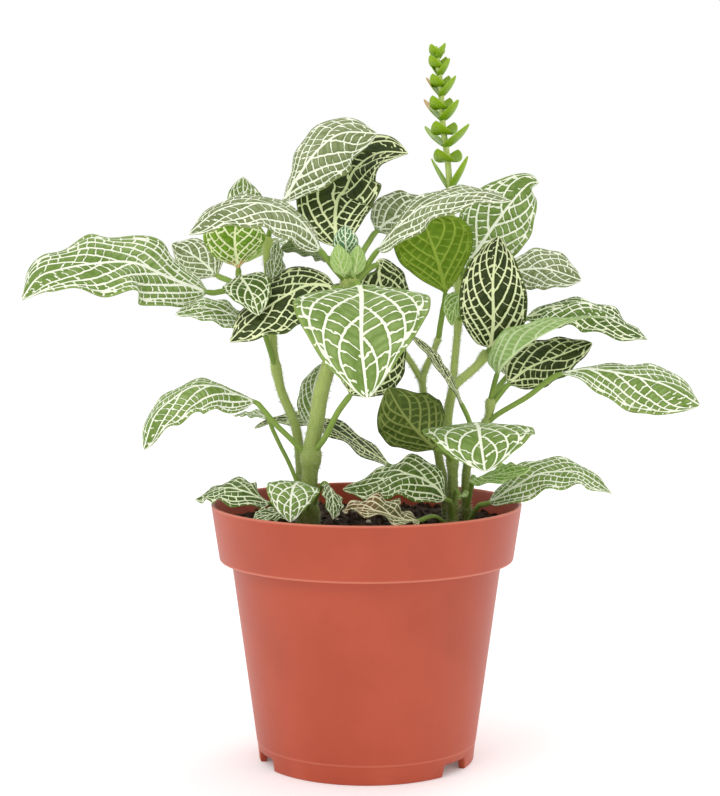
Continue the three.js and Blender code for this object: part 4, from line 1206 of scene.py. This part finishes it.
def crumbs(name, count, small, large, reach, material, seed):
    """Rough lumps lying on the soil: eight-sided balls, each stretched and dented at random."""
    local = np.random.default_rng(seed)
    rows, columns = 6, 8
    tilt = np.linspace(0.12, np.pi - 0.12, rows)[:, None]
    ball = turned(np.sin(tilt), np.cos(tilt), full_turn(columns)).reshape(-1, 3)
    r = reach * np.sqrt(local.random(count))
    a = local.uniform(0, 2 * np.pi, count)
    size = local.uniform(small, large, count) * local.uniform(0.5, 1, count)
    x, y = r * np.cos(a), r * np.sin(a)
    centre = stacked(x, y, soil_height(x, y) + size * 0.25)
    stretch = local.uniform(0.6, 1.2, (count, 1, 3))
    dents = local.uniform(0.72, 1.15, (count, len(ball), 1))
    points = centre[:, None] + ball[None] * size[:, None, None] * stretch * dents
    quads = grid_faces(rows, columns, closed=True)[:, ::-1]
    faces = (quads[None] + np.arange(count)[:, None, None] * len(ball)).reshape(-1, 4)
    piece = make_mesh(name, points, faces, [material])
    fill_holes(piece)
    return piece


def fill_holes(piece):
    """Shuts every open loop of a mesh and turns its faces outwards."""
    with opened(piece) as shape:
        bmesh.ops.holes_fill(shape, edges=shape.edges, sides=0)
        bmesh.ops.recalc_face_normals(shape, faces=shape.faces)
        for face in shape.faces:
            face.smooth = True


# ---------------------------------------------------------------- camera, floor and light
CAMERA_PLACE = (-2.5 * MM, -742.5 * MM, 206 * MM)
CAMERA_PITCH = 0.088
CAMERA_LENS = 87.5
SENSOR_WIDTH = 36
FLOOR_RADII = (0.5, 200, 900, 4000.0)
FLOOR_SIDES = 96
FLOOR_HEIGHT = -0.05
LIT_PLACE = (0, 0, 0.15)
LAMP_SIZE = 0.7


def make_camera():
    """A camera in front of the pot, pitched down a little."""
    data = bpy.data.cameras.new("camera")
    data.lens = CAMERA_LENS
    data.sensor_width = SENSOR_WIDTH
    camera = placed("camera", data)
    camera.location = CAMERA_PLACE
    camera.rotation_euler = (math.pi / 2 - CAMERA_PITCH, 0, 0)
    bpy.context.scene.camera = camera


def make_floor():
    """A wide white disc under the pot, a hair below the foot."""
    points = turned(np.array(FLOOR_RADII)[:, None], FLOOR_HEIGHT, full_turn(FLOOR_SIDES))
    finish = Finish("white_floor", 0.8, Specular_IOR_Level=0.1, Emission_Strength=0.12)
    finish.shader.inputs["Emission Color"].default_value = (1, 1, 1, 1)
    drift = finish.noise(finish.place(), 3, 2.0)
    finish.colour(finish.mix(drift, rgb(250, 250, 252), rgb(255, 255, 255)))
    faces = grid_faces(len(FLOOR_RADII), FLOOR_SIDES, closed=True)
    floor = make_mesh("floor", points, faces, [finish.material])


def make_light(name, place, power):
    """A round soft lamp that looks at the middle of the plant."""
    data = bpy.data.lights.new(name, "AREA")
    data.shape = "DISK"
    data.size = LAMP_SIZE
    data.energy = power
    lamp = placed(name, data)
    lamp.location = place
    direction = np.array(LIT_PLACE) - np.array(place)
    yaw = math.atan2(direction[1], direction[0])
    down = math.acos(-direction[2] / np.linalg.norm(direction))
    lamp.rotation_euler = (down, 0, yaw - math.pi / 2)


def make_studio():
    """A white surround and two lamps."""
    world = bpy.data.worlds.new("white_studio")
    world.use_nodes = True
    sky = world.node_tree.nodes["Background"]
    sky.inputs["Color"].default_value = (1, 1, 1, 1)
    sky.inputs["Strength"].default_value = 1.0
    bpy.context.scene.world = world
    bpy.context.scene.view_settings.view_transform = "Standard"
    make_light("key", (-0.55, -0.75, 0.95), 2.6)
    make_light("back", (0.5, 0.75, 0.8), 2.2)


make_camera()
make_floor()
make_studio()
make_pot()
make_soil()
STEM_NODES = {"centre_stem", "left_stem", "right_stem", "right_back_stem", "forked_stem"}
for stem_name in STEMS:
    make_stem(stem_name, stem_name if stem_name in STEM_NODES else None)
for leaf_number, leaf_name in enumerate(LEAVES):
    make_leaf(leaf_name, leaf_number)
make_spike()
